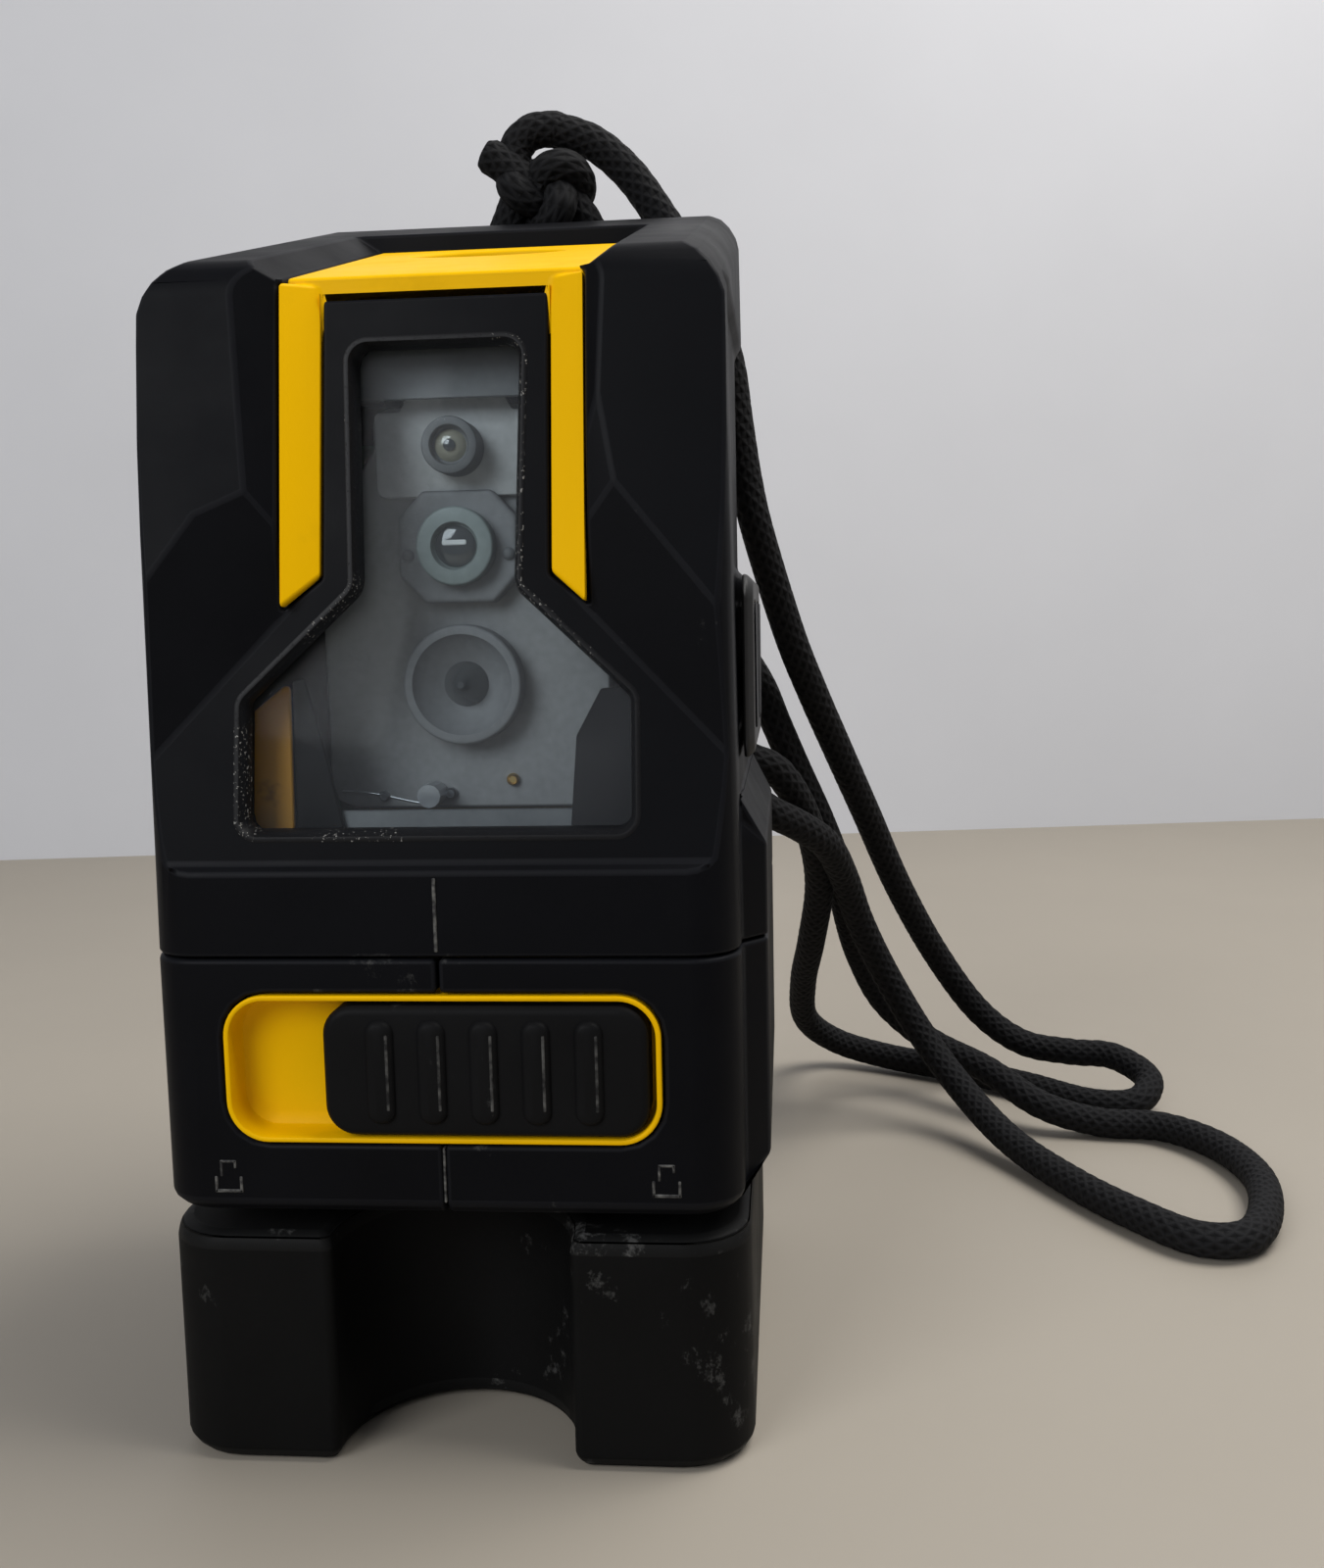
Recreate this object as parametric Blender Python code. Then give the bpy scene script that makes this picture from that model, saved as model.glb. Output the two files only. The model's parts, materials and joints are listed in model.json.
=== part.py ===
"""Cross-line laser level head on its pivot base, with a corded lanyard.

Lengths are in millimetres and are turned into metres where a mesh is made.
+X is the object's right, +Y is its back and +Z is up. The floor is Z = 0 and
the head turns about the Z axis.
"""
import math

import bmesh
import bpy
from mathutils import Matrix, Vector

for old_object in list(bpy.data.objects):
    bpy.data.objects.remove(old_object, do_unlink=True)

MM = 0.001
GAP = 0.3

# Driving dimensions of the head.
HALF_WIDTH = 35.3
HEAD_DRAFT = 0.9
FRONT_Y = -40.0
BACK_Y = 40.0
HEAD_FLOOR_Z = 32.0
SEAM_Z = 63.0
CREASE_Z = 73.5
FRONT_CORNER = 6.0
BACK_CORNER = 9.0
WALL = 2.4

# The leaning faces: the recessed panel, and the two columns beside it.
PANEL_Y_AT_CREASE = -39.0
PANEL_LEAN = 0.161
COLUMN_START_Z = 87.0
COLUMN_Y_AT_START = -39.8
COLUMN_LEAN = 0.126

# The sloping top, measured on the crest of the two ridges.
CREST_Y = -28.1
CREST_Z = 145.4
TOP_SLOPE = 0.302
TRAY_DROP = 2.5
COVER_THICKNESS = 2.4
TRAY_HALF = 17.8
RIDGE_INNER = 21.6
TRAY_BACK_Y = 15.4

# The channel that the panel lies in.
PANEL_HALF = 13.8
PANEL_CORNER_Z = 107.5
COLUMN_CORNER_Z = 117.5
BAR_OUTER = 18.0

# The base.
BASE_HALF_WIDTH = 36.0
BASE_FRONT_Y = -39.5
BASE_BACK_Y = 39.5
BASE_TOP_Z = 29.2
NOTCH_RADIUS = 14.4
NOTCH_STEPS = 24

# The power slider.
TRAY_LOW_Z = 40.9
TRAY_HIGH_Z = 58.7
TRAY_HALF_WIDTH = 26.0
TRAY_RIM = 0.7
BUTTON_INSET = 1.05
BUTTON_LOW_X = -13.9
BUTTON_HIGH_X = 24.6
RIB_COUNT = 5
RIB_SPACING = 6.15
RIB_HALF_WIDTH = 1.7
RIB_HALF_HEIGHT = 6.2

# The cord.
CORD_DIAMETER = 5.6


# ---------------------------------------------------------------- materials
def material(name, colour, roughness, metallic=0.0):
    made = bpy.data.materials.new(name)
    made.use_nodes = True
    shader = made.node_tree.nodes["Principled BSDF"]
    shader.inputs["Base Color"].default_value = (*colour, 1.0)
    shader.inputs["Roughness"].default_value = roughness
    shader.inputs["Metallic"].default_value = metallic
    return made


BLACK_RUBBER = material("black_rubber", (0.012, 0.013, 0.017), 0.5)
BLACK_PLASTIC = material("black_plastic", (0.010, 0.011, 0.014), 0.38)
YELLOW_PLASTIC = material("yellow_plastic", (0.86, 0.50, 0.0), 0.35)
WINDOW_GLASS = material("window_glass", (0.55, 0.60, 0.62), 0.05)
GREY_METAL = material("grey_metal", (0.22, 0.23, 0.25), 0.45, 0.7)
STEEL = material("steel", (0.55, 0.56, 0.58), 0.3, 1.0)
BRASS = material("brass", (0.70, 0.48, 0.16), 0.3, 1.0)
LENS_GLASS = material("lens_glass", (0.50, 0.46, 0.36), 0.08)
BOARD_GREEN = material("board_green", (0.02, 0.14, 0.06), 0.5)
CELL_SLEEVE = material("cell_sleeve", (0.45, 0.27, 0.03), 0.35)
BRAID = material("braid", (0.010, 0.011, 0.012), 0.8)


# ---------------------------------------------------------------- geometry
def mesh_object(name, points, faces, finish):
    """An object from points in millimetres, with its faces turned outwards."""
    mesh = bpy.data.meshes.new(name)
    mesh.from_pydata([Vector(point) * MM for point in points], [], faces)
    work = bmesh.new()
    work.from_mesh(mesh)
    bmesh.ops.recalc_face_normals(work, faces=work.faces)
    work.to_mesh(mesh)
    work.free()
    mesh.materials.append(finish)
    made = bpy.data.objects.new(name, mesh)
    bpy.context.scene.collection.objects.link(made)
    return made


def stacked(name, sections, finish):
    """A solid through sections that are loops of the same number of points."""
    count = len(sections[0])
    points = [point for section in sections for point in section]
    faces = [tuple(range(count)), tuple(range(len(points) - count, len(points)))]
    for level in range(len(sections) - 1):
        low, high = level * count, (level + 1) * count
        for i in range(count):
            j = (i + 1) % count
            faces.append((low + i, low + j, high + j, high + i))
    return mesh_object(name, points, faces, finish)


def placed(outline, axis, distance):
    """An outline's 2D points set in the plane across an axis."""
    if axis == "x":
        return [(distance, u, v) for u, v in outline]
    if axis == "y":
        return [(u, distance, v) for u, v in outline]
    return [(u, v, distance) for u, v in outline]


def prism(name, outline, axis, low, high, finish=None):
    sections = [placed(outline, axis, low), placed(outline, axis, high)]
    return stacked(name, sections, finish or BLACK_PLASTIC)


def box(name, low, high, finish=None):
    outline = [(low[0], low[1]), (high[0], low[1]), (high[0], high[1]), (low[0], high[1])]
    return prism(name, outline, "z", low[2], high[2], finish)


def rounded(corners, steps=7):
    """A closed outline from (u, v, radius) corners, each rounded by an arc."""
    outline = []
    for i, (u, v, radius) in enumerate(corners):
        here = Vector((u, v))
        if radius <= 0:
            outline.append((u, v))
            continue
        back = (Vector(corners[i - 1][:2]) - here).normalized()
        ahead = (Vector(corners[(i + 1) % len(corners)][:2]) - here).normalized()
        half = back.angle(ahead) / 2
        reach = radius / math.tan(half)
        centre = here + (back + ahead).normalized() * radius / math.sin(half)
        start = here + back * reach - centre
        end = here + ahead * reach - centre
        turn = start.angle_signed(end)
        for step in range(steps + 1):
            spoke = start.copy()
            spoke.rotate(Matrix.Rotation(-turn * step / steps, 2))
            outline.append(tuple(centre + spoke))
    return outline


def rounded_box_outline(low, high, radius, steps=4):
    corners = [(low[0], low[1]), (high[0], low[1]), (high[0], high[1]), (low[0], high[1])]
    return rounded([(u, v, radius) for u, v in corners], steps)


def circle(centre, radius, steps=24):
    angles = [2 * math.pi * i / steps for i in range(steps)]
    return [(centre[0] + radius * math.cos(a), centre[1] + radius * math.sin(a)) for a in angles]


def cylinder(name, centre, radius, axis, low, high, finish=None, steps=24):
    return prism(name, circle(centre, radius, steps), axis, low, high, finish)


def as_cutter(helper):
    helper.hide_render = True
    helper.display_type = "WIRE"


def boolean(target, helper, operation):
    as_cutter(helper)
    step = target.modifiers.new(operation.lower(), "BOOLEAN")
    step.operation = operation
    step.object = helper
    step.solver = "EXACT"
    return target


def cut(target, *helpers):
    for helper in helpers:
        boolean(target, helper, "DIFFERENCE")
    return target


def join(target, *helpers):
    for helper in helpers:
        boolean(target, helper, "UNION")
    return target


# ---------------------------------------------------------------- surfaces
def panel_y(z):
    return PANEL_Y_AT_CREASE + PANEL_LEAN * (z - CREASE_Z)


def column_y(z):
    return COLUMN_Y_AT_START + COLUMN_LEAN * (z - COLUMN_START_Z)


def crest_z(y):
    return CREST_Z + TOP_SLOPE * (y - CREST_Y)


def on_panel(outline, depth):
    """An outline in (x, z) laid on the leaning panel, this far behind it."""
    return [(x, panel_y(z) + depth, z) for x, z in outline]


def along_top(outline, y):
    """An outline in (x, height over the crest), set across the sloping top."""
    return [(x, y, crest_z(y) + rise) for x, rise in outline]


def head_plan(inset=0.0):
    side = HALF_WIDTH - inset
    front, back = FRONT_Y + inset, BACK_Y - inset
    near, far = FRONT_CORNER - inset / 2, BACK_CORNER - inset / 2
    corners = [(-side, front, near), (side, front, near), (side, back, far), (-side, back, far)]
    return rounded(corners)


WINDOW_TOP_HALF = 10.6
WINDOW_TOP_Z = 135.2
WAIST_HALF = 9.9
WAIST_Z = 106.1
SHOULDER_HALF = 23.6
SHOULDER_Z = 93.2
WINDOW_LOW_Z = 77.2


def window_outline(grow, radius=2.4):
    """The bottle-shaped window opening, grown outwards by this much."""
    right = [
        (WINDOW_TOP_HALF + grow, WINDOW_TOP_Z + grow),
        (WAIST_HALF + grow, WAIST_Z + grow * 0.4),
        (SHOULDER_HALF + grow, SHOULDER_Z + grow * 0.4),
        (SHOULDER_HALF + grow, WINDOW_LOW_Z - grow),
    ]
    left = [(-x, z) for x, z in reversed(right)]
    return rounded([(x, z, radius) for x, z in right + left], 3)


# ---------------------------------------------------------------- base
def base_plan(inset=0.0):
    side = BASE_HALF_WIDTH - inset
    front, back = BASE_FRONT_Y + inset, BASE_BACK_Y - inset
    radius = NOTCH_RADIUS + inset
    notch = []
    for step in range(NOTCH_STEPS + 1):
        angle = math.pi * step / NOTCH_STEPS
        notch.append((radius * math.cos(angle), front + 1.5 + radius * math.sin(angle), 0))
    corners = [(-side, back, 8), (-side, front, 8), (-radius, front, 1.2)]
    corners += list(reversed(notch))
    corners += [(radius, front, 1.2), (side, front, 8), (side, back, 8)]
    return rounded(corners)


QUARTER_INSERT = (0.0, -12.0, 3.2, 6.5)
LARGE_INSERT = (0.0, 14.0, 8.0, 12.0)
PLATE_TOP = 2.4
POST_FLANGE_Z = 24.0


def make_base():
    sections = [
        placed(base_plan(1.4), "z", 0.0),
        placed(base_plan(0.4), "z", 0.7),
        placed(base_plan(), "z", 2.0),
        placed(base_plan(), "z", BASE_TOP_Z - 1.2),
        placed(base_plan(0.8), "z", BASE_TOP_Z),
    ]
    base = stacked("pivot_base", sections, BLACK_RUBBER)
    plate_low, plate_high = (-26, -19), (26, 32)
    grown = rounded_box_outline((-26 - GAP, -19 - GAP), (26 + GAP, 32 + GAP), 5)
    cut(base, prism("cut_plate_recess", grown, "z", -1, PLATE_TOP + GAP))
    cut(base, cylinder("cut_post_seat", (0, 0), 12 + GAP, "z", POST_FLANGE_Z, BASE_TOP_Z + 1))
    plate = prism("base_plate", rounded_box_outline(plate_low, plate_high, 5), "z", 0.4, PLATE_TOP, STEEL)
    for name, (x, y, bore, outer) in (("thread_quarter_inch", QUARTER_INSERT), ("thread_five_eighths", LARGE_INSERT)):
        cut(base, cylinder(f"cut_seat_{name}", (x, y), outer + GAP, "z", 0, 14 + GAP))
        cut(plate, cylinder(f"cut_plate_{name}", (x, y), outer + GAP, "z", -1, 4))
        insert = cylinder(name, (x, y), outer, "z", 0.4, 14, BRASS)
        cut(insert, cylinder(f"cut_bore_{name}", (x, y), bore, "z", -1, 12.5))
    for name, side in (("magnet_left", -1), ("magnet_right", 1)):
        low_x, high_x = sorted((side * 12, side * 30))
        low, high = (low_x, 33.5, 8), (high_x, BASE_BACK_Y - 0.2, 22)
        pocket_low = [value - GAP for value in low]
        cut(base, box(f"cut_{name}", pocket_low, (high_x + GAP, BASE_BACK_Y + 1, 22 + GAP)))
        box(name, low, high, STEEL)
    post = cylinder("pivot_post", (0, 0), 12, "z", POST_FLANGE_Z + GAP, BASE_TOP_Z, STEEL)
    join(post, cylinder("join_post_shaft", (0, 0), 8, "z", BASE_TOP_Z - 1, 35.3))
    join(post, cylinder("join_post_thread", (0, 0), 5.7, "z", 35, 42))
    washer = cylinder("pivot_washer", (0, 0), 20, "z", BASE_TOP_Z + GAP, HEAD_FLOOR_Z - GAP, STEEL)
    cut(washer, cylinder("cut_washer", (0, 0), 8 + GAP, "z", 20, 40))
    nut = cylinder("pivot_nut", (0, 0), 11, "z", 35.3 + GAP, 40, STEEL, 6)
    cut(nut, cylinder("cut_nut", (0, 0), 6, "z", 30, 45))


# ---------------------------------------------------------------- lower housing
BUMP_FRONT_Y = -28.0
BUMP_BACK_Y = 27.0
BUMP_WIDTH = 38.3


def side_bump(name, side, low_z, high_z, low_chamfer, high_chamfer):
    """A grip on one side, chamfered below or above, that the housing takes in."""
    inner = HALF_WIDTH - 1.5
    profile = [
        (inner, low_z),
        (BUMP_WIDTH - low_chamfer, low_z),
        (BUMP_WIDTH, low_z + low_chamfer),
        (BUMP_WIDTH, high_z - 2 * high_chamfer),
        (BUMP_WIDTH - high_chamfer, high_z),
        (inner, high_z),
    ]
    flat = [(min(x, HALF_WIDTH - 0.4), z) for x, z in profile]
    sections = [
        [(side * x, BUMP_FRONT_Y - 4, z) for x, z in flat],
        [(side * x, BUMP_FRONT_Y, z) for x, z in profile],
        [(side * x, BUMP_BACK_Y, z) for x, z in profile],
        [(side * x, BUMP_BACK_Y + 4, z) for x, z in flat],
    ]
    return stacked(name, sections, BLACK_RUBBER)


def slider_outline(grow):
    low = (-TRAY_HALF_WIDTH - grow, TRAY_LOW_Z - grow)
    high = (TRAY_HALF_WIDTH + grow, TRAY_HIGH_Z + grow)
    return rounded_box_outline(low, high, 5 + grow)


def make_lower_housing(name, side):
    sections = [
        placed(head_plan(1.2), "z", HEAD_FLOOR_Z),
        placed(head_plan(), "z", HEAD_FLOOR_Z + 1.4),
        placed(head_plan(), "z", SEAM_Z),
    ]
    shell = stacked(name, sections, BLACK_RUBBER)
    join(shell, side_bump(f"join_bump_{name}", side, HEAD_FLOOR_Z + 1, SEAM_Z, 2.6, 0))
    cut(shell, prism(f"cut_inside_{name}", head_plan(WALL + 0.4), "z", 35, SEAM_Z + 2))
    cut(shell, cylinder(f"cut_pivot_{name}", (0, 0), 8 + GAP, "z", 25, 40))
    cut(shell, prism(f"cut_slider_{name}", slider_outline(GAP), "y", FRONT_Y - 3, FRONT_Y + 5))
    far = -side * 60
    low_x, high_x = sorted((far, side * GAP / 2))
    cut(shell, box(f"cut_half_{name}", (low_x, -60, 20), (high_x, 60, 80)))


# ---------------------------------------------------------------- upper housing
WAIST_SIDE = 33.2
BATTERY_HALF = 24.6
BATTERY_LOW_Z = 65.0
BATTERY_HIGH_Z = 124.0
UP_WINDOW_Y = 5.0


def ellipse(half_x, half_y, centre_y, steps=28):
    angles = [2 * math.pi * i / steps for i in range(steps)]
    return [(half_x * math.cos(a), centre_y + half_y * math.sin(a)) for a in angles]


def head_block(name):
    """The head's outer block over the seam: a side view cut by a plan view."""
    top_corner_z = 144.04
    profile = rounded([
        (FRONT_Y, SEAM_Z + GAP, 0),
        (FRONT_Y, 85.4, 0),
        (column_y(top_corner_z), top_corner_z, 6),
        (BACK_Y, crest_z(BACK_Y), 5),
        (BACK_Y, SEAM_Z + GAP, 0),
    ])
    block = prism(name, profile, "x", -HALF_WIDTH - 1, HALF_WIDTH + 1, BLACK_RUBBER)
    low, high = 60.0, 175.0
    top_inset = HEAD_DRAFT * (high - low) / (top_corner_z - low)
    sections = [placed(head_plan(), "z", low), placed(head_plan(top_inset), "z", high)]
    plan = stacked(f"keep_plan_{name}", sections, BLACK_PLASTIC)
    return boolean(block, plan, "INTERSECT")


def channel_cutter():
    """The U channel with slanting walls, open at the top and wider below."""
    reach = 40.0
    slope = 1.04
    inner = [
        (PANEL_HALF, 165.0),
        (PANEL_HALF, PANEL_CORNER_Z),
        (reach, PANEL_CORNER_Z - slope * (reach - PANEL_HALF)),
        (reach, CREASE_Z + 0.7),
    ]
    outer = [
        (RIDGE_INNER, 165.0),
        (RIDGE_INNER, COLUMN_CORNER_Z),
        (reach, COLUMN_CORNER_Z - (reach - RIDGE_INNER)),
        (reach, CREASE_Z - 0.5),
    ]
    behind = [Vector((x, panel_y(z), z)) for x, z in inner]
    ahead = [Vector((x, column_y(z), z)) for x, z in outer]
    ahead[3].y = FRONT_Y
    flared = [b + (a - b) * 2.2 for a, b in zip(ahead, behind)]
    cleared = [point - Vector((0, 12, 0)) for point in flared]

    def both_sides(half):
        return [tuple(p) for p in half] + [(-p[0], p[1], p[2]) for p in reversed(half)]

    sections = [both_sides(half) for half in (cleared, flared, behind)]
    return stacked("cut_channel", sections, BLACK_PLASTIC)


def tray_cutter():
    depth = TRAY_DROP + COVER_THICKNESS + GAP
    half = [(TRAY_HALF + GAP, -depth), (TRAY_HALF + GAP, -TRAY_DROP), (RIDGE_INNER + 3.7, TRAY_DROP)]
    outline = half + [(-x, rise) for x, rise in reversed(half)]
    return stacked("cut_tray", [along_top(outline, -45), along_top(outline, TRAY_BACK_Y + GAP)], BLACK_PLASTIC)


def crest_chamfer(side):
    """The round shoulder along each top edge: a quarter ellipse that starts and ends just clear of the block."""
    across, down, clear = 6.6, 7.6, 0.25
    start = HALF_WIDTH - HEAD_DRAFT + clear - across
    outline = [(side * start, 5.0)]
    for step in range(7):
        angle = math.pi / 2 * (1 - step / 6)
        outline.append((side * (start + across * math.cos(angle)), clear + down * (math.sin(angle) - 1)))
    outline.append((side * (HALF_WIDTH + 8), -down - 0.6))
    outline.append((side * (HALF_WIDTH + 8), 5.0))
    name = "cut_crest_right" if side > 0 else "cut_crest_left"
    return stacked(name, [along_top(outline, -60), along_top(outline, 60)], BLACK_PLASTIC)


def waist_cutter(side):
    """The shallow grip on each side, between the side pad and the top."""
    reach = HALF_WIDTH + 4
    outline = [(reach, 103.3), (WAIST_SIDE, 109.1), (WAIST_SIDE, 142.0), (reach, 149.0)]
    front = [(side * (x + HALF_WIDTH - WAIST_SIDE + 0.3), -28.0, z) for x, z in outline]
    start = [(side * x, -24.0, z) for x, z in outline]
    back = [(side * x, 50.0, z) for x, z in outline]
    name = "cut_waist_right" if side > 0 else "cut_waist_left"
    return stacked(name, [front, start, back], BLACK_PLASTIC)


def cavity_cutter():
    roof = TRAY_DROP + COVER_THICKNESS + GAP + 2.0
    low_z, turn_z = SEAM_Z - 3, CREASE_Z
    front_high = 138.0
    profile = [
        (FRONT_Y + WALL + 0.4, low_z),
        (FRONT_Y + WALL + 0.4, turn_z),
        (panel_y(front_high) + WALL, front_high),
        (panel_y(front_high) + WALL + 1, crest_z(panel_y(front_high) + WALL + 1) - roof),
        (BACK_Y - WALL, crest_z(BACK_Y - WALL) - roof),
        (BACK_Y - WALL, low_z),
    ]
    return prism("cut_cavity", profile, "x", -30.5, 30.5)


def bar_outline(grow, low_z, high_z):
    """One leg of the yellow bezel: it lies on the channel's slanting wall."""
    share = (BAR_OUTER - PANEL_HALF) / (RIDGE_INNER - PANEL_HALF)
    sections = []
    for z, inner_z in ((low_z - grow, low_z + 3.6 - grow), (high_z, high_z)):
        inner = (PANEL_HALF - grow, panel_y(inner_z), inner_z)
        outer_y = panel_y(z) + (column_y(z) - panel_y(z)) * share
        outer = (BAR_OUTER + grow, outer_y, z)
        behind_outer = (BAR_OUTER + grow, outer_y + 1.9 + grow, z)
        behind_inner = (PANEL_HALF - grow, inner[1] + 1.5 + grow, inner_z)
        sections.append([inner, outer, behind_outer, behind_inner])
    return sections


def bar(name, side, grow, finish=None):
    """A leg grown by this much; a grown one also clears the air before it."""
    sections = bar_outline(grow, 103.9, 142.0)
    if grow > 0:
        for section in sections:
            for i in (0, 1):
                x, y, z = section[i]
                section[i] = (x, y - 3, z)
    turned = [[(side * x, y, z) for x, y, z in section] for section in sections]
    return stacked(name, turned, finish or BLACK_PLASTIC)


def make_upper_housing():
    housing = head_block("upper_housing")
    for side, word in ((-1, "left"), (1, "right")):
        bump = side_bump(f"join_upper_bump_{word}", side, SEAM_Z + GAP, 80.5, 0, 3)
        join(housing, bump)
    cut(housing, cavity_cutter(), channel_cutter(), tray_cutter())
    for side, word in ((-1, "left"), (1, "right")):
        cut(housing, crest_chamfer(side), waist_cutter(side), bar(f"cut_bar_{word}", side, GAP))
    opening = window_outline(0)
    cut(housing, stacked("cut_window", [on_panel(opening, -3), on_panel(opening, 6)], BLACK_PLASTIC))
    hole = ellipse(9.2, 4.4, UP_WINDOW_Y)
    cut(housing, prism("cut_up_beam", hole, "z", 130, 170))
    battery = rounded_box_outline((-BATTERY_HALF, BATTERY_LOW_Z), (BATTERY_HALF, BATTERY_HIGH_Z), 0.6)
    cut(housing, prism("cut_battery_opening", battery, "y", 32, 45))
    return housing


def make_bezel():
    half = [(TRAY_HALF, -TRAY_DROP - COVER_THICKNESS), (TRAY_HALF, -TRAY_DROP)]
    outline = half + [(-x, rise) for x, rise in reversed(half)]
    front_y = panel_y(141.0)
    cover = stacked("yellow_bezel", [along_top(outline, front_y), along_top(outline, TRAY_BACK_Y)], YELLOW_PLASTIC)
    for side, word in ((-1, "left"), (1, "right")):
        join(cover, bar(f"join_bar_{word}", side, 0))
    hole = ellipse(11, 5.6, UP_WINDOW_Y)
    cut(cover, prism("cut_cover_window", hole, "z", 130, 170))


def make_windows():
    grown = window_outline(1.8)
    glass = stacked("window_glass", [on_panel(grown, WALL + GAP), on_panel(grown, WALL + 2.2)], WINDOW_GLASS)
    frame_outer, frame_inner = window_outline(1.8), window_outline(0.2)
    seal = [on_panel(frame_outer, WALL + 2.5), on_panel(frame_outer, WALL + 3.7)]
    gasket = stacked("window_gasket", seal, BLACK_RUBBER)
    hole = [on_panel(frame_inner, WALL + 1), on_panel(frame_inner, WALL + 6)]
    cut(gasket, stacked("cut_gasket", hole, BLACK_PLASTIC))
    lens = ellipse(11 - GAP, 5.6 - GAP, UP_WINDOW_Y)
    low, high = TRAY_DROP + COVER_THICKNESS, TRAY_DROP + 0.9
    sections = [[(x, y, crest_z(y) - drop) for x, y in lens] for drop in (low, high)]
    stacked("up_beam_window", sections, LENS_GLASS)
    return glass


# ---------------------------------------------------------------- slider
def make_slider():
    tray = prism("slider_tray", slider_outline(0), "y", FRONT_Y, FRONT_Y + 5.4, YELLOW_PLASTIC)
    inner = slider_outline(-TRAY_RIM)
    cut(tray, prism("cut_tray_inside", inner, "y", FRONT_Y - 2, FRONT_Y + 4.0))
    slot = rounded_box_outline((-12.5, 47.5), (12.5, 54.3), 1)
    cut(tray, prism("cut_tray_slot", slot, "y", FRONT_Y, FRONT_Y + 8))
    low, high = (BUTTON_LOW_X, TRAY_LOW_Z + BUTTON_INSET), (BUTTON_HIGH_X, TRAY_HIGH_Z - BUTTON_INSET)
    face = rounded_box_outline(low, high, 3.6)
    edge = rounded_box_outline((low[0] + 0.8, low[1] + 0.8), (high[0] - 0.8, high[1] - 0.8), 2.8)
    sections = [placed(edge, "y", FRONT_Y - 0.9), placed(face, "y", FRONT_Y), placed(face, "y", FRONT_Y + 3.6)]
    button = stacked("power_slider", sections, BLACK_RUBBER)
    middle_x, middle_z = (BUTTON_LOW_X + BUTTON_HIGH_X) / 2, (TRAY_LOW_Z + TRAY_HIGH_Z) / 2
    for i in range(RIB_COUNT):
        x = middle_x + (i - (RIB_COUNT - 1) / 2) * RIB_SPACING
        low = (x - RIB_HALF_WIDTH, middle_z - RIB_HALF_HEIGHT)
        high = (x + RIB_HALF_WIDTH, middle_z + RIB_HALF_HEIGHT)
        rib = rounded_box_outline(low, high, RIB_HALF_WIDTH - 0.1)
        join(button, prism(f"join_rib_{i}", rib, "y", FRONT_Y - 1.8, FRONT_Y + 1))
    join(button, box("join_stem", (-0.5, FRONT_Y + 3, 48.1), (11.5, FRONT_Y + 9, 53.7)))
    box("lock_cam", (0.0, FRONT_Y + 9 + GAP, 48.5), (11.0, FRONT_Y + 12, 53.5), BLACK_PLASTIC)


# ---------------------------------------------------------------- sides and back
PAD_LOW_Z = 84.5
PAD_HIGH_Z = 107.0
PAD_Y = (-26.0, 14.0)
PAD_OUTER = 37.0


def make_side_pads():
    for side, name in ((-1, "side_pad_left"), (1, "keypad_frame")):
        low, high = (PAD_Y[0], PAD_LOW_Z), (PAD_Y[1], PAD_HIGH_Z)
        outline = rounded_box_outline(low, high, 3)
        edge = rounded_box_outline((low[0] + 0.9, low[1] + 0.9), (high[0] - 0.9, high[1] - 0.9), 2.1)
        sections = [
            placed(outline, "x", side * (HALF_WIDTH + GAP)),
            placed(outline, "x", side * (PAD_OUTER - 0.8)),
            placed(edge, "x", side * PAD_OUTER),
        ]
        pad = stacked(name, sections, BLACK_PLASTIC)
        if side < 0:
            continue
        for button, (y0, y1) in (("mode_button_front", (-22.0, -8.0)), ("mode_button_back", (-4.5, 9.5))):
            grown = rounded_box_outline((y0 - GAP, 88 - GAP), (y1 + GAP, 103.5 + GAP), 2.3)
            cut(pad, prism(f"cut_{button}", grown, "x", HALF_WIDTH - 1, PAD_OUTER + 2))
            shape = rounded_box_outline((y0, 88), (y1, 103.5), 2)
            prism(button, shape, "x", HALF_WIDTH + 1.0, PAD_OUTER + 0.2, BLACK_RUBBER)


HINGE_Y = 35.6
HINGE_Z = 70.0
CELL_RADIUS = 7.1
CELL_Y = 27.6


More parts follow.
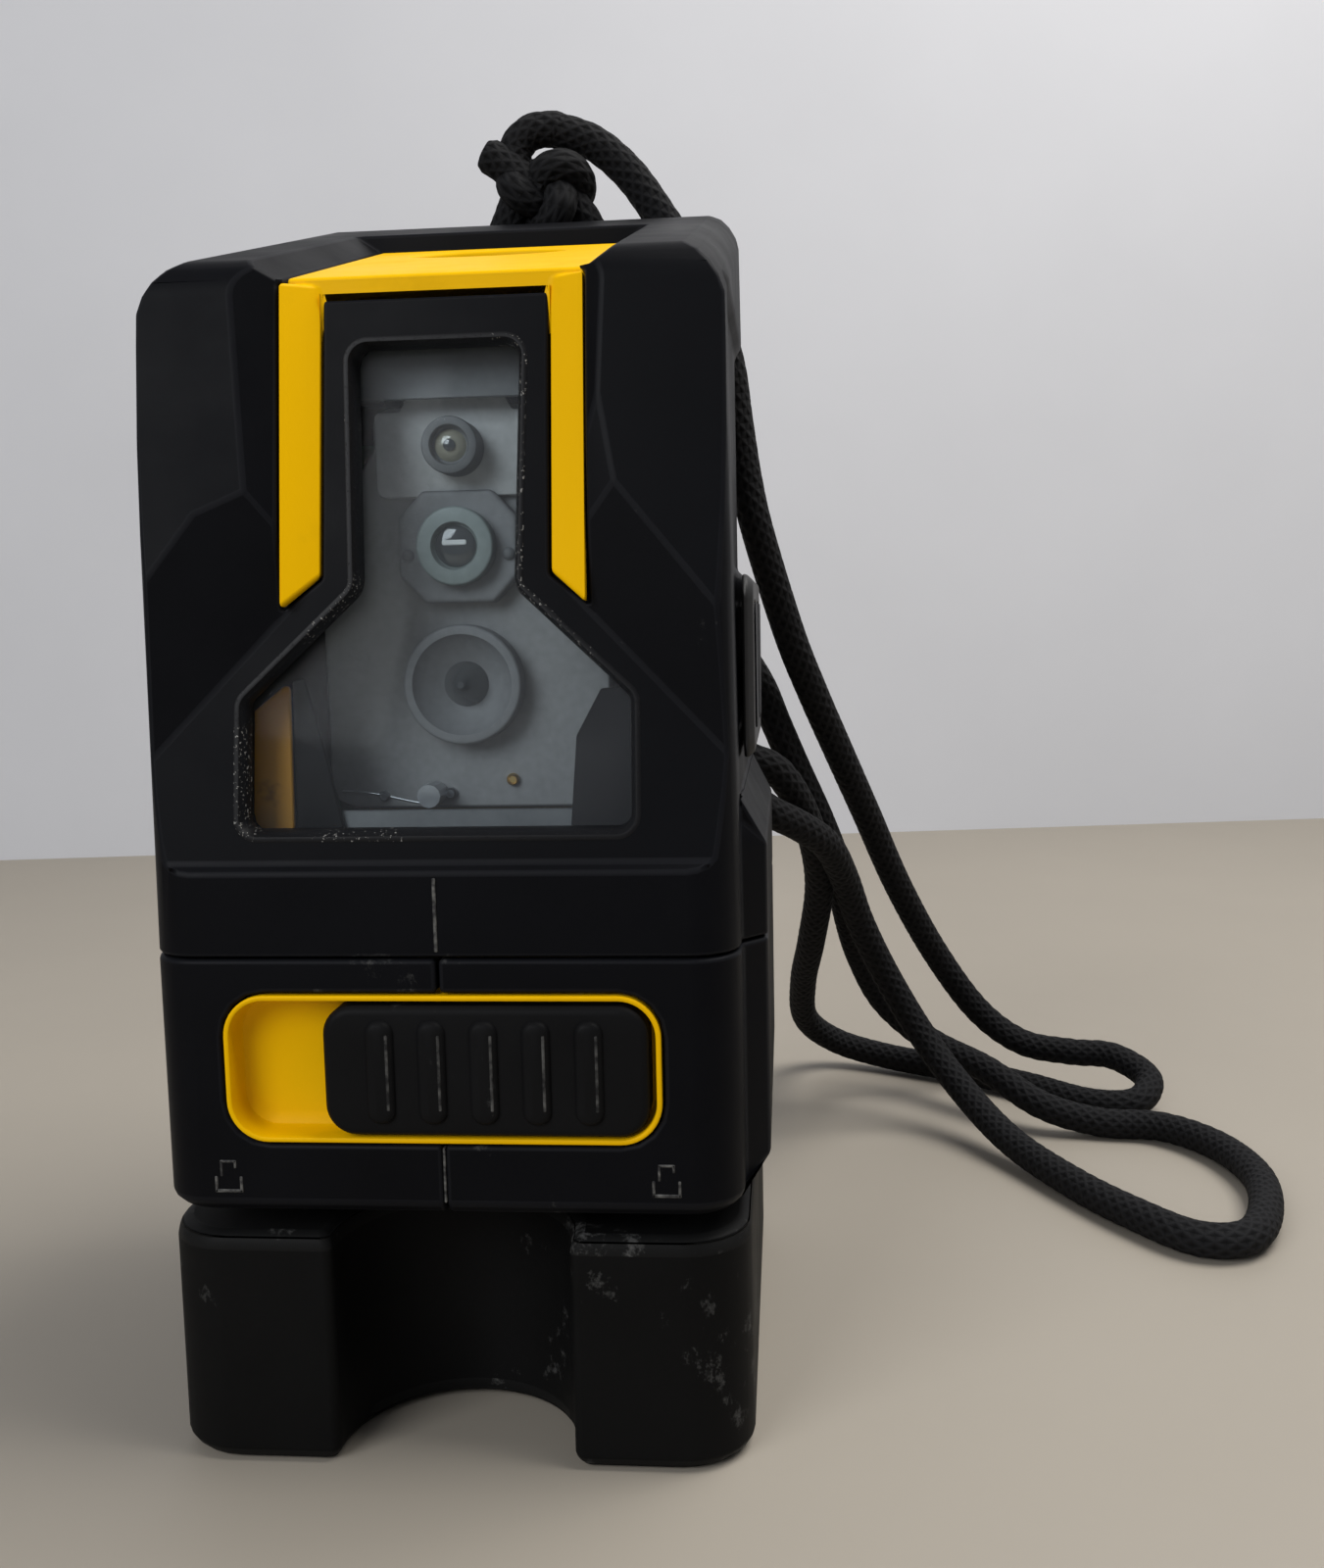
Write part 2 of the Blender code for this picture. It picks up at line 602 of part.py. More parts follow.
def make_battery_bay():
    door_half = BATTERY_HALF - 0.4
    panel = rounded_box_outline((-door_half, HINGE_Z), (door_half, BATTERY_HIGH_Z - 0.4), 1.6)
    door = prism("battery_door", panel, "y", BACK_Y - WALL + 0.1, BACK_Y, BLACK_RUBBER)
    barrel_half = door_half - 0.6
    join(door, cylinder("join_door_barrel", (HINGE_Y, HINGE_Z), 2.3, "x", -barrel_half, barrel_half))
    join(door, box("join_door_leaf", (-barrel_half, HINGE_Y, 69.2), (barrel_half, 39, 71.6)))
    for i in range(4):
        z = 104 + 4 * i
        join(door, box(f"join_door_grip_{i}", (-12, BACK_Y - 1, z), (12, BACK_Y + 1.8, z + 1.6)))
    cut(door, cylinder("cut_door_pin", (HINGE_Y, HINGE_Z), 1.3, "x", -40, 40))
    cylinder("door_hinge_pin", (HINGE_Y, HINGE_Z), 1.0, "x", -26.6, 26.6, STEEL, 16)
    outline = [
        (-27.2, 15.5), (27.2, 15.5), (27.2, 37.3), (25.0, 37.3),
        (25.0, 18.0), (-25.0, 18.0), (-25.0, 37.3), (-27.2, 37.3),
    ]
    tray = prism("battery_tray", outline, "z", 66, 126, BLACK_PLASTIC)
    cut(tray, cylinder("cut_tray_pin", (HINGE_Y, HINGE_Z), 1.3, "x", -40, 40))
    for i in range(3):
        x = (i - 1) * 15.6
        cell = cylinder(f"battery_cell_{i + 1}", (x, CELL_Y), CELL_RADIUS, "z", 72.5, 121.5, CELL_SLEEVE, 20)
        join(cell, cylinder(f"join_cell_cap_{i}", (x, CELL_Y), 2.7, "z", 121, 123, None, 12))
    for name, low, high in (("contact_plate_low", 70.6, 71.8), ("contact_plate_high", 123.6, 124.4)):
        box(name, (-22.5, 20.5, low), (22.5, 32.8, high), STEEL)


def make_circuit_board():
    box("circuit_board", (-28, 12.6, 68), (28, 14.4, 128), BOARD_GREEN)


LUG_X = (-0.4, 5.6)


def make_lanyard_lug():
    profile = rounded([(BACK_Y + GAP, 150, 0), (49.4, 152.6, 4), (49.4, 160.6, 4), (BACK_Y + GAP, 160.6, 0)])
    lug = prism("lanyard_lug", profile, "x", *LUG_X, BLACK_PLASTIC)
    cut(lug, cylinder("cut_lug", (45.0, 156.6), 3.4, "x", -5, 12))


# ---------------------------------------------------------------- pendulum
GIMBAL = (0.0, -12.0, 134.7)
CHASSIS_Y = (-18.0, -8.0)


def make_gimbal():
    x, y, z = GIMBAL
    yoke = box("gimbal_yoke", (-15, y - 4, z - 4), (15, y + 4, z + 6.8), GREY_METAL)
    cut(yoke, box("cut_yoke", (-12, y - 8, z - 8), (12, y + 8, z + 4.4)))
    cut(yoke, cylinder("cut_yoke_pin", (y, z), 1.5, "x", -20, 20, None, 16))
    ring = box("gimbal_ring", (-8.2, y - 8, z - 2.5), (8.2, y + 8, z + 2.5), BRASS)
    cut(ring, box("cut_ring", (-5.2, y - 5, z - 6), (5.2, y + 5, z + 6)))
    for word, low, high in (("left", -14.2, -7.5), ("right", 7.5, 14.2)):
        join(ring, cylinder(f"join_ring_pin_{word}", (y, z), 1.2, "x", low, high, None, 16))
    cut(ring, cylinder("cut_ring_pin", (x, z), 1.5, "y", y - 20, y + 20, None, 16))


def make_pendulum():
    x, y, z = GIMBAL
    chassis = prism(
        "pendulum_chassis",
        rounded([(-18.5, 78, 3), (18.5, 78, 3), (18.5, 112, 3), (11, 124, 3), (11, 129, 2),
                 (-11, 129, 2), (-11, 124, 3), (-18.5, 112, 3)], 2),
        "y", *CHASSIS_Y, GREY_METAL,
    )
    hanger = box("join_hanger", (-3.6, y - 3.6, 126), (3.6, y + 3.6, z + 3.4))
    join(chassis, hanger)
    join(chassis, cylinder("join_hanger_pin", (x, z), 1.2, "y", y - 7.6, y + 7.6, None, 16))
    upper = cylinder("upper_laser_barrel", (0, 123.5), 3.8, "y", -23.8, CHASSIS_Y[0] - GAP, GREY_METAL)
    cut(upper, cylinder("cut_upper_bore", (0, 123.5), 2.6, "y", -30, -21.5))
    cylinder("upper_laser_lens", (0, 123.5), 2.3, "y", -23.2, -21.5 - GAP, LENS_GLASS, 20)
    block = prism("line_laser_housing", circle((0, 111.3), 7.8, 8), "y", -24.5, CHASSIS_Y[0] - GAP, GREY_METAL)
    cut(block, cylinder("cut_line_bore", (0, 111.3), 4.6, "y", -30, -22.5))
    cylinder("line_laser_lens", (0, 111.3), 4.3, "y", -25.4, -22.5 - GAP, LENS_GLASS, 24)
    cup = cylinder("cross_laser_cup", (0, 94.0), 9.0, "y", -25.0, CHASSIS_Y[0] - GAP, GREY_METAL, 28)
    cut(cup, cylinder("cut_cup", (0, 94.0), 7.0, "y", -30, -22.5))
    cylinder("cross_laser_lens", (0, 94.0), 3.4, "y", -25.6, -22.5 - GAP, LENS_GLASS, 24)
    box("balance_weight", (-15, -13, 68.5), (15, -3, 78 - GAP), BRASS)
    cylinder("trim_screw", (-4.5, 80.0), 1.5, "y", -22.6, CHASSIS_Y[0] - GAP, STEEL, 12)


def make_lock():
    lift = box("lock_lever", (-9, -24, 58.5), (9, -4, 61.5), BLACK_PLASTIC)
    join(lift, box("join_lock_pad", (-6, -12, 61), (6, -4, 64.6)))
    join(lift, box("join_lock_foot", (-3, -23, 43), (3, -19.5, 59)))


# ---------------------------------------------------------------- lanyard
ROUTE = (
    (4.4, 41.4, 180.6),
    (10.6, 42.8, 178.6),
    (16.0, 44.0, 174.2),
    (20.4, 45.0, 168.3),
    (25.2, 46.0, 160.6),
    (29.3, 46.8, 151.5),
    (31.8, 47.2, 143.4),
    (33.0, 47.8, 134.3),
    (34.4, 48.8, 124.6),
    (36.4, 50.4, 115.4),
    (41.4, 56.8, 98.6),
    (45.4, 62.5, 88.1),
    (50.2, 70.5, 76.7),
    (56.0, 81.5, 63.1),
    (63.0, 93.5, 46.5),
    (71.6, 104.0, 30.0),
    (81.0, 108.5, 16.5),
    (90.0, 107.0, 10.0),
    (99.5, 104.0, 8.8),
    (108.0, 101.5, 8.6),
    (113.4, 94.0, 6.2),
    (109.6, 87.0, 3.8),
    (101.0, 88.5, 3.0),
    (90.0, 99.0, 3.0),
    (76.0, 110.0, 3.0),
    (62.0, 118.0, 3.4),
    (51.0, 121.0, 6.0),
    (44.2, 115.0, 13.0),
    (43.6, 102.0, 24.5),
    (45.2, 88.0, 36.5),
    (46.6, 75.5, 49.5),
    (45.5, 65.5, 60.0),
    (42.4, 57.5, 69.2),
    (38.6, 52.6, 75.0),
    (33.6, 50.6, 77.6),
    (29.2, 51.6, 81.6),
    (27.6, 54.6, 87.0),
    (28.6, 58.8, 92.6),
    (32.4, 62.0, 94.4),
    (36.0, 63.0, 89.4),
    (38.8, 63.8, 82.4),
    (42.2, 66.8, 74.0),
    (46.9, 72.5, 62.8),
    (50.6, 81.0, 51.8),
    (52.4, 90.0, 41.5),
    (55.4, 99.0, 30.5),
    (60.8, 104.0, 19.5),
    (70.0, 99.5, 12.4),
    (80.0, 88.5, 9.8),
    (89.5, 79.5, 5.5),
    (100.0, 77.0, 3.0),
    (111.5, 74.5, 3.0),
    (119.0, 64.5, 3.0),
    (121.5, 50.0, 3.0),
    (118.5, 35.5, 3.0),
    (112.5, 24.5, 3.0),
    (104.5, 23.5, 3.0),
    (97.0, 32.5, 3.0),
    (89.6, 45.5, 3.0),
    (81.5, 62.0, 4.2),
    (74.5, 75.5, 9.0),
    (67.0, 84.0, 18.0),
    (60.0, 84.5, 30.0),
    (54.6, 79.0, 42.0),
    (51.2, 70.0, 52.5),
    (47.9, 59.5, 60.2),
    (43.0, 51.5, 65.0),
    (37.0, 45.8, 69.0),
    (31.8, 43.9, 74.0),
    (29.2, 43.7, 82.0),
    (28.6, 43.7, 94.0),
    (28.4, 43.7, 107.0),
    (28.2, 44.2, 119.0),
    (24.6, 45.4, 129.0),
    (16.0, 46.2, 135.6),
    (8.0, 46.4, 139.0),
    (3.6, 46.2, 142.4),
    (2.8, 46.0, 146.6),
)
KNOT = (3.6, 41.0, 171.4)
HITCH = (
    (-3.4, 42.6, 167.0),
    (-5.4, 44.2, 163.0),
    (-5.4, 45.0, 159.0),
    (-3.0, 45.0, 156.7),
    (0.0, 45.0, 156.5),
    (5.2, 45.0, 156.5),
    (8.2, 45.0, 156.7),
    (10.6, 45.0, 159.0),
    (10.6, 44.2, 163.0),
    (9.2, 42.6, 167.0),
)


def smooth_points(route, spacing):
    """Points this far apart along a smooth curve through the route's points."""
    ends = [Vector(point) for point in route]
    ends = [2 * ends[0] - ends[1]] + ends + [2 * ends[-1] - ends[-2]]
    fine = []
    for i in range(1, len(ends) - 2):
        before, start, end, after = ends[i - 1:i + 3]
        for step in range(12):
            t = step / 12
            fine.append(0.5 * (
                2 * start + (end - before) * t
                + (2 * before - 5 * start + 4 * end - after) * t ** 2
                + (3 * start - before - 3 * end + after) * t ** 3
            ))
    fine.append(ends[-2])
    total = sum((b - a).length for a, b in zip(fine, fine[1:]))
    pieces = round(total / spacing)
    wanted = [total * i / pieces for i in range(pieces + 1)]
    found, walked, at = [fine[0]], 0.0, 1
    for a, b in zip(fine, fine[1:]):
        length = (b - a).length
        while at < pieces and wanted[at] <= walked + length:
            found.append(a.lerp(b, (wanted[at] - walked) / length))
            at += 1
        walked += length
    found.append(fine[-1])
    return found, total


def cord_object(name, points, diameter):
    curve = bpy.data.curves.new(name, "CURVE")
    curve.dimensions = "3D"
    curve.bevel_depth = diameter / 2 * MM
    curve.bevel_resolution = 2
    curve.use_fill_caps = True
    spline = curve.splines.new("POLY")
    spline.points.add(len(points) - 1)
    for spot, point in zip(spline.points, points):
        spot.co = (*(point * MM), 1)
    curve.materials.append(BRAID)
    made = bpy.data.objects.new(name, curve)
    bpy.context.scene.collection.objects.link(made)
    return made


def make_lanyard():
    points, length = smooth_points(ROUTE, 2.4 * CORD_DIAMETER)
    cord_object("lanyard_cord", points, CORD_DIAMETER)
    print(f"lanyard cord: {length:.0f} mm, {len(points)} points")
    x, y, z = KNOT
    sections = [
        placed(circle((x, y), radius, 16), "z", z + rise)
        for radius, rise in ((4.5, -3.4), (7.6, -0.6), (7.2, 1.2), (3.6, 4.4))
    ]
    knot = stacked("lanyard_knot", sections, BRAID)
    join(knot, cylinder("join_cut_tail", (x - 6.4, y - 1.2), CORD_DIAMETER / 2, "z", z, z + 7, None, 12))
    hitch, _ = smooth_points(HITCH, 1.6 * CORD_DIAMETER)
    cord_object("lanyard_hitch", hitch, CORD_DIAMETER)


def main():
    make_base()
    make_lower_housing("lower_housing_left", -1)
    make_lower_housing("lower_housing_right", 1)
    make_upper_housing()
    make_bezel()
    make_windows()
    make_slider()
    make_side_pads()
    make_battery_bay()
    make_circuit_board()
    make_lanyard_lug()
    make_gimbal()
    make_pendulum()
    make_lock()
    make_lanyard()


main()
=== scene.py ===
# %% [markdown]
# # A cross-line laser level, from its frame to its finish
#
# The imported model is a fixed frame: it says where every piece is and how it
# moves. This script dresses it. Each new piece is a surface worked out with
# numpy, rides on one of the frame's bodies, and stands in for the plain solid
# under it. Lengths are in millimetres here and are turned into metres by MM
# as each mesh is made.

# %% Tools and frame
import math

import bpy
import numpy as np
from mathutils import Matrix, Vector
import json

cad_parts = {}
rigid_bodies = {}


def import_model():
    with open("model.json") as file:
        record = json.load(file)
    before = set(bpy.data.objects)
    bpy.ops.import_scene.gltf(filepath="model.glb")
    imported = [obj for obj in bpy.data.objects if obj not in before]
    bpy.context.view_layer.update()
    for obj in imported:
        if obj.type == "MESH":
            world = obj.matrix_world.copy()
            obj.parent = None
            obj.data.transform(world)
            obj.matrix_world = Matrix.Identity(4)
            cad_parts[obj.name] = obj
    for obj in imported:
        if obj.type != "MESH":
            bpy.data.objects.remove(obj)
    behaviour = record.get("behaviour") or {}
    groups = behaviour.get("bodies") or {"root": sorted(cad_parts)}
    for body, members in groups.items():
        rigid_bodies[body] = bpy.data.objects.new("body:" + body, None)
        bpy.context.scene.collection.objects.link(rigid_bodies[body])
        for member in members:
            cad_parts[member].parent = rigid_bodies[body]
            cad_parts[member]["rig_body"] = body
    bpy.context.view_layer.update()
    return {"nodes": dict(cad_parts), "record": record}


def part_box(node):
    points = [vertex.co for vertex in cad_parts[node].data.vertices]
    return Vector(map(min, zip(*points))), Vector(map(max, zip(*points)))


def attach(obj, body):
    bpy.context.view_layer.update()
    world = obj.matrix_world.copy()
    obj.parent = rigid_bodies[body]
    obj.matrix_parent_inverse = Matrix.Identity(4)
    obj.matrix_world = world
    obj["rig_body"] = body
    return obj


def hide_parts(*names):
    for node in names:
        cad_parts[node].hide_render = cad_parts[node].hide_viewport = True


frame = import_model()
MM = 0.001
NODES = frame["nodes"]

# %% [markdown]
# ## Where the camera stands
#
# The level is seen from close by, from a little to its right and a little
# above its middle. So close, the front corners spread apart and the far side
# shrinks, which is why the camera is placed first: every later choice of
# detail depends on what it sees. Three turns aim it: yaw to the left, pitch
# down, and a small roll.

# %% Camera
CAMERA_PLACE = Vector((41.0, -204.3, 102.1))
YAW, PITCH, ROLL = math.radians(-4.96), math.radians(6.52), math.radians(-1.22)
LENS_MM = 33.73
SENSOR_MM = 36.0


def aimed_camera():
    """A camera whose axes are the yaw and pitch directions turned by the roll."""
    forward = Vector((math.sin(YAW) * math.cos(PITCH), math.cos(YAW) * math.cos(PITCH), -math.sin(PITCH)))
    level_right = Vector((math.cos(YAW), -math.sin(YAW), 0))
    level_up = level_right.cross(forward)
    right = level_right * math.cos(ROLL) + level_up * math.sin(ROLL)
    data = bpy.data.cameras.new("camera")
    data.lens = LENS_MM
    data.sensor_width = SENSOR_MM
    data.sensor_fit = "AUTO"
    data.clip_start = 0.01
    camera = bpy.data.objects.new("camera", data)
    bpy.context.scene.collection.objects.link(camera)
    axes = np.array([right, right.cross(forward), -forward]).T
    matrix = np.eye(4)
    matrix[:3, :3] = axes
    matrix[:3, 3] = np.array(CAMERA_PLACE) * MM
    camera.matrix_world = Matrix(matrix.tolist())
    return camera


bpy.context.scene.camera = aimed_camera()
print("camera at", tuple(round(v) for v in CAMERA_PLACE), "mm")

# %% [markdown]
# ## The lanyard's route
#
# The lanyard is a limp braided cord. It leaves the knot over the back edge,
# falls past the right side, lies on the floor in two long folds and climbs
# back to the lug. One smooth curve through a short list of given points
# holds it: a Catmull-Rom curve passes through every point and keeps its
# direction there, so it bends like cord and not like wire.

# %% Cord route
CORD_DIAMETER = 5.6
ROUTE = (
    (4.4, 41.4, 180.6),
    (10.6, 42.8, 178.6),
    (16.0, 44.0, 174.2),
    (20.4, 45.0, 168.3),
    (25.2, 46.0, 160.6),
    (29.3, 46.8, 151.5),
    (31.8, 47.2, 143.4),
    (33.0, 47.8, 134.3),
    (34.4, 48.8, 124.6),
    (36.4, 50.4, 115.4),
    (41.4, 56.8, 98.6),
    (45.4, 62.5, 88.1),
    (50.2, 70.5, 76.7),
    (56.0, 81.5, 63.1),
    (63.0, 93.5, 46.5),
    (71.6, 104.0, 30.0),
    (81.0, 108.5, 16.5),
    (90.0, 107.0, 10.0),
    (99.5, 104.0, 8.8),
    (108.0, 101.5, 8.6),
    (113.4, 94.0, 6.2),
    (109.6, 87.0, 3.8),
    (101.0, 88.5, 3.0),
    (90.0, 99.0, 3.0),
    (76.0, 110.0, 3.0),
    (62.0, 118.0, 3.4),
    (51.0, 121.0, 6.0),
    (44.2, 115.0, 13.0),
    (43.6, 102.0, 24.5),
    (45.2, 88.0, 36.5),
    (46.6, 75.5, 49.5),
    (45.5, 65.5, 60.0),
    (42.4, 57.5, 69.2),
    (38.6, 52.6, 75.0),
    (33.6, 50.6, 77.6),
    (29.2, 51.6, 81.6),
    (27.6, 54.6, 87.0),
    (28.6, 58.8, 92.6),
    (32.4, 62.0, 94.4),
    (36.0, 63.0, 89.4),
    (38.8, 63.8, 82.4),
    (42.2, 66.8, 74.0),
    (46.9, 72.5, 62.8),
    (50.6, 81.0, 51.8),
    (52.4, 90.0, 41.5),
    (55.4, 99.0, 30.5),
    (60.8, 104.0, 19.5),
    (70.0, 99.5, 12.4),
    (80.0, 88.5, 9.8),
    (89.5, 79.5, 5.5),
    (100.0, 77.0, 3.0),
    (111.5, 74.5, 3.0),
    (119.0, 64.5, 3.0),
    (121.5, 50.0, 3.0),
    (118.5, 35.5, 3.0),
    (112.5, 24.5, 3.0),
    (104.5, 23.5, 3.0),
    (97.0, 32.5, 3.0),
    (89.6, 45.5, 3.0),
    (81.5, 62.0, 4.2),
    (74.5, 75.5, 9.0),
    (67.0, 84.0, 18.0),
    (60.0, 84.5, 30.0),
    (54.6, 79.0, 42.0),
    (51.2, 70.0, 52.5),
    (47.9, 59.5, 60.2),
    (43.0, 51.5, 65.0),
    (37.0, 45.8, 69.0),
    (31.8, 43.9, 74.0),
    (29.2, 43.7, 82.0),
    (28.6, 43.7, 94.0),
    (28.4, 43.7, 107.0),
    (28.2, 44.2, 119.0),
    (24.6, 45.4, 129.0),
    (16.0, 46.2, 135.6),
    (8.0, 46.4, 139.0),
    (3.6, 46.2, 142.4),
    (2.8, 46.0, 146.6),
)


def smooth_route(route, spacing):
    """Catmull-Rom points: p(t) = half of (2b + (c-a)t + (2a-5b+4c-d)t2 + (3b-a-3c+d)t3), spaced evenly."""
    knots = np.array(route, float)
    ends = np.vstack([2 * knots[0] - knots[1], knots, 2 * knots[-1] - knots[-2]])
    before, start, end, after = (ends[i:len(ends) - 3 + i, None, :] for i in range(4))
    t = (np.arange(16) / 16)[None, :, None]
    fine = 0.5 * (
        2 * start + (end - before) * t
        + (2 * before - 5 * start + 4 * end - after) * t ** 2
        + (3 * start - before - 3 * end + after) * t ** 3
    )
    fine = np.vstack([fine.reshape(-1, 3), knots[-1]])
    walked = np.concatenate([[0], np.cumsum(np.linalg.norm(np.diff(fine, axis=0), axis=1))])
    count = int(round(walked[-1] / spacing)) + 1
    wanted = np.linspace(0, walked[-1], count)
    return np.stack([np.interp(wanted, walked, fine[:, i]) for i in range(3)], axis=1), walked[-1]


cord_points, CORD_LENGTH = smooth_route(ROUTE, 1.2)
print(f"cord: {CORD_LENGTH:.0f} mm long, {len(cord_points)} points along it")

# %% [markdown]
# ## Materials
#
# Every finish is built from nodes that read Object coordinates, so a pattern
# keeps its real size on every piece. One helper makes the shader and sets the
# plain values on its own sockets; a second adds a noise.

# %% Material helpers


def shader_of(name, colour, roughness, **more):
    """A new material and its shader, with plain values set on the sockets."""
    made = bpy.data.materials.new(name)
    made.use_nodes = True
    shader = made.node_tree.nodes["Principled BSDF"]
    shader.inputs["Base Color"].default_value = (*colour, 1)
    shader.inputs["Roughness"].default_value = roughness
    for socket, value in more.items():
        shader.inputs[socket.replace("_", " ")].default_value = value
    return made, shader


def link(material, output, target):
    """Joins an output to a socket."""
    material.node_tree.links.new(output, target)


def node(material, kind, **settings):
    """A new shader node of this kind, with its own settings."""
    made = material.node_tree.nodes.new("ShaderNode" + kind)
    for key, value in settings.items():
        setattr(made, key, value)
    return made


def object_place(material):
    """The Object coordinates, so that a pattern keeps its real size."""
    return node(material, "TexCoord").outputs["Object"]


def noise(material, scale, detail=3.0, rough=0.55, stretch=None):
    """A noise in Object coordinates; scale is in cells a metre."""
    made = node(material, "TexNoise")
    made.inputs["Scale"].default_value = scale
    made.inputs["Detail"].default_value = detail
    made.inputs["Roughness"].default_value = rough
    place = object_place(material)
    if stretch is not None:
        mapping = node(material, "Mapping")
        mapping.inputs["Scale"].default_value = stretch
        link(material, place, mapping.inputs["Vector"])
        place = mapping.outputs["Vector"]
    link(material, place, made.inputs["Vector"])
    return made.outputs["Fac"]


def ramp(material, source, *stops):
    """A colour ramp through (position, (r, g, b)) stops."""
    made = node(material, "ValToRGB")
    elements = made.color_ramp.elements
    while len(elements) < len(stops):
        elements.new(0.5)
    for element, (position, colour) in zip(elements, stops):
        element.position = position
        element.color = (*colour, 1)
    link(material, source, made.inputs["Fac"])
    return made.outputs["Color"]


def grey_ramp(material, source, *stops):
    """A ramp of greys through (position, value) stops."""
    return ramp(material, source, *[(at, (v, v, v)) for at, v in stops])


def bump(material, shader, height, distance, strength=1.0):
    """Relief on the shader's normal; distance is in metres."""
    made = node(material, "Bump")
    made.inputs["Strength"].default_value = strength
    made.inputs["Distance"].default_value = distance
    link(material, height, made.inputs["Height"])
    link(material, made.outputs["Normal"], shader.inputs["Normal"])
    return made


def mixed(material, factor, first, second):
    """first where the factor is 0 and second where it is 1; each a colour or an output."""
    made = node(material, "Mix", data_type="RGBA")
    link(material, factor, made.inputs["Factor"])
    for value, socket in ((first, made.inputs[6]), (second, made.inputs[7])):
        if isinstance(value, tuple):
            socket.default_value = (*value, 1)
        else:
            link(material, value, socket)
    return made.outputs[2]


def math_of(material, operation, first, second):
    """One sum of two values, each a number or an output."""
    made = node(material, "Math", operation=operation)
    for value, socket in ((first, made.inputs[0]), (second, made.inputs[1])):
        if isinstance(value, (int, float)):
            socket.default_value = value
        else:
            link(material, value, socket)
    return made.outputs[0]

# %% [markdown]
# ## Rubber, plastic and metal
#
# The shell is a satin black overmould: fine grain, a slow change in sheen
# where hands have polished it, and thin grey scuffs. Its rounded edges carry
# more wear than its faces and a painted highlight, so they get a finish of
# their own. The yellow parts are a smoother moulding with a little dirt in random patches.

# %% Finishes of the shell


def black_rubber(name, colour, roughness, scuff_from, scuff_grey):
    """Satin rubber: grain in the bump, patches in the sheen, pale scuffs where a stretched noise peaks."""
    made, shader = shader_of(name, colour, roughness, Specular_IOR_Level=0.06)
    grain = noise(made, 5200, 2)
    patches = noise(made, 60, 4)
    scratches = noise(made, 260, 8, 0.75, (1.0, 1.0, 0.8))
    spread = noise(made, 34, 3)
    peak = math_of(made, "MULTIPLY", scratches, spread)
    scuffs = grey_ramp(made, peak, (scuff_from, 0.0), (scuff_from + 0.10, 1.0))
    worn = tuple(scuff_grey * tint for tint in (1.0, 0.99, 0.96))
    tinted = mixed(made, patches, tuple(c * 0.7 for c in colour), tuple(c * 1.35 for c in colour))
    link(made, mixed(made, scuffs, tinted, worn), shader.inputs["Base Color"])
    sheen = grey_ramp(made, patches, (0.3, roughness - 0.07), (0.7, roughness + 0.07))
    link(made, sheen, shader.inputs["Roughness"])
    bump(made, shader, grain, 0.00003, 0.35)
    return made


def smooth_plastic(name, colour, roughness, dirt, gleam=0.2):
    """A moulding: faint orange peel, and dirt where a broad noise is low."""
    made, shader = shader_of(name, colour, roughness, Specular_IOR_Level=gleam)
    broad = noise(made, 95, 5, 0.62)
    grime = grey_ramp(made, broad, (0.30, 1.0), (0.42, 0.0))
    dark = tuple(c * (1 - dirt) for c in colour)
    tone = mixed(made, noise(made, 22, 2), colour, tuple(c * 0.93 for c in colour))
    link(made, mixed(made, grime, tone, dark), shader.inputs["Base Color"])
    link(made, grey_ramp(made, broad, (0.3, roughness + 0.12), (0.6, roughness)), shader.inputs["Roughness"])
    bump(made, shader, noise(made, 1500, 2), 0.00004, 0.25)
    return made


def cast_metal(name, colour, roughness, metallic, scale=900):
    """A casting or plated metal: fine specks in its colour and relief, patches in its sheen."""
    made, shader = shader_of(name, colour, roughness, Metallic=metallic)
    speck = noise(made, scale, 4)
    link(made, mixed(made, speck, tuple(c * 0.8 for c in colour), tuple(min(1, c * 1.2) for c in colour)),
         shader.inputs["Base Color"])
    link(made, grey_ramp(made, noise(made, 240, 3), (0.35, roughness), (0.65, roughness + 0.14)),
         shader.inputs["Roughness"])
    bump(made, shader, speck, 0.00003, 0.3)
    return made


RUBBER = black_rubber("black_rubber_face", (0.0030, 0.0032, 0.0043), 0.48, 0.400, 0.045)
# The two edge finishes are lighter copies of the face finishes: part real wear, part a painted highlight on
# the rounded edges.
RUBBER_EDGE_WEAR_AND_HIGHLIGHT = black_rubber("black_rubber_edge_wear_and_highlight", (0.0070, 0.0073, 0.0090), 0.46, 0.365, 0.075)
BASE_RUBBER = black_rubber("base_rubber_face", (0.0048, 0.0048, 0.0048), 0.54, 0.360, 0.085)
BASE_EDGE_WEAR_AND_HIGHLIGHT = black_rubber("base_rubber_edge_wear_and_highlight", (0.0085, 0.0085, 0.0084), 0.50, 0.315, 0.120)
BLACK_PLASTIC = smooth_plastic("black_plastic_fine", (0.0085, 0.0090, 0.0110), 0.34, 0.4)
SIDE_GREY = smooth_plastic("side_plastic", (0.030, 0.030, 0.031), 0.45, 0.3)
YELLOW = smooth_plastic("yellow_moulding", (0.90, 0.50, 0.0), 0.40, 0.10, 0.06)
GREY_METAL = cast_metal("chassis_casting", (0.30, 0.295, 0.295), 0.55, 0.1)
BLOCK_METAL = cast_metal("block_casting", (0.24, 0.24, 0.245), 0.5, 0.1)
DARK_METAL = cast_metal("dark_barrel", (0.15, 0.152, 0.155), 0.5, 0.1)
PLATE_METAL = cast_metal("pale_plate", (0.58, 0.575, 0.57), 0.5, 0.1)
STEEL = cast_metal("plated_steel", (0.52, 0.53, 0.55), 0.28, 1.0, 400)
BRASS = cast_metal("turned_brass", (0.66, 0.45, 0.15), 0.28, 1.0, 400)
BOARD = smooth_plastic("solder_mask", (0.02, 0.13, 0.06), 0.4, 0.2)
CELL = smooth_plastic("cell_sleeve_skin", (0.43, 0.26, 0.03), 0.3, 0.1)
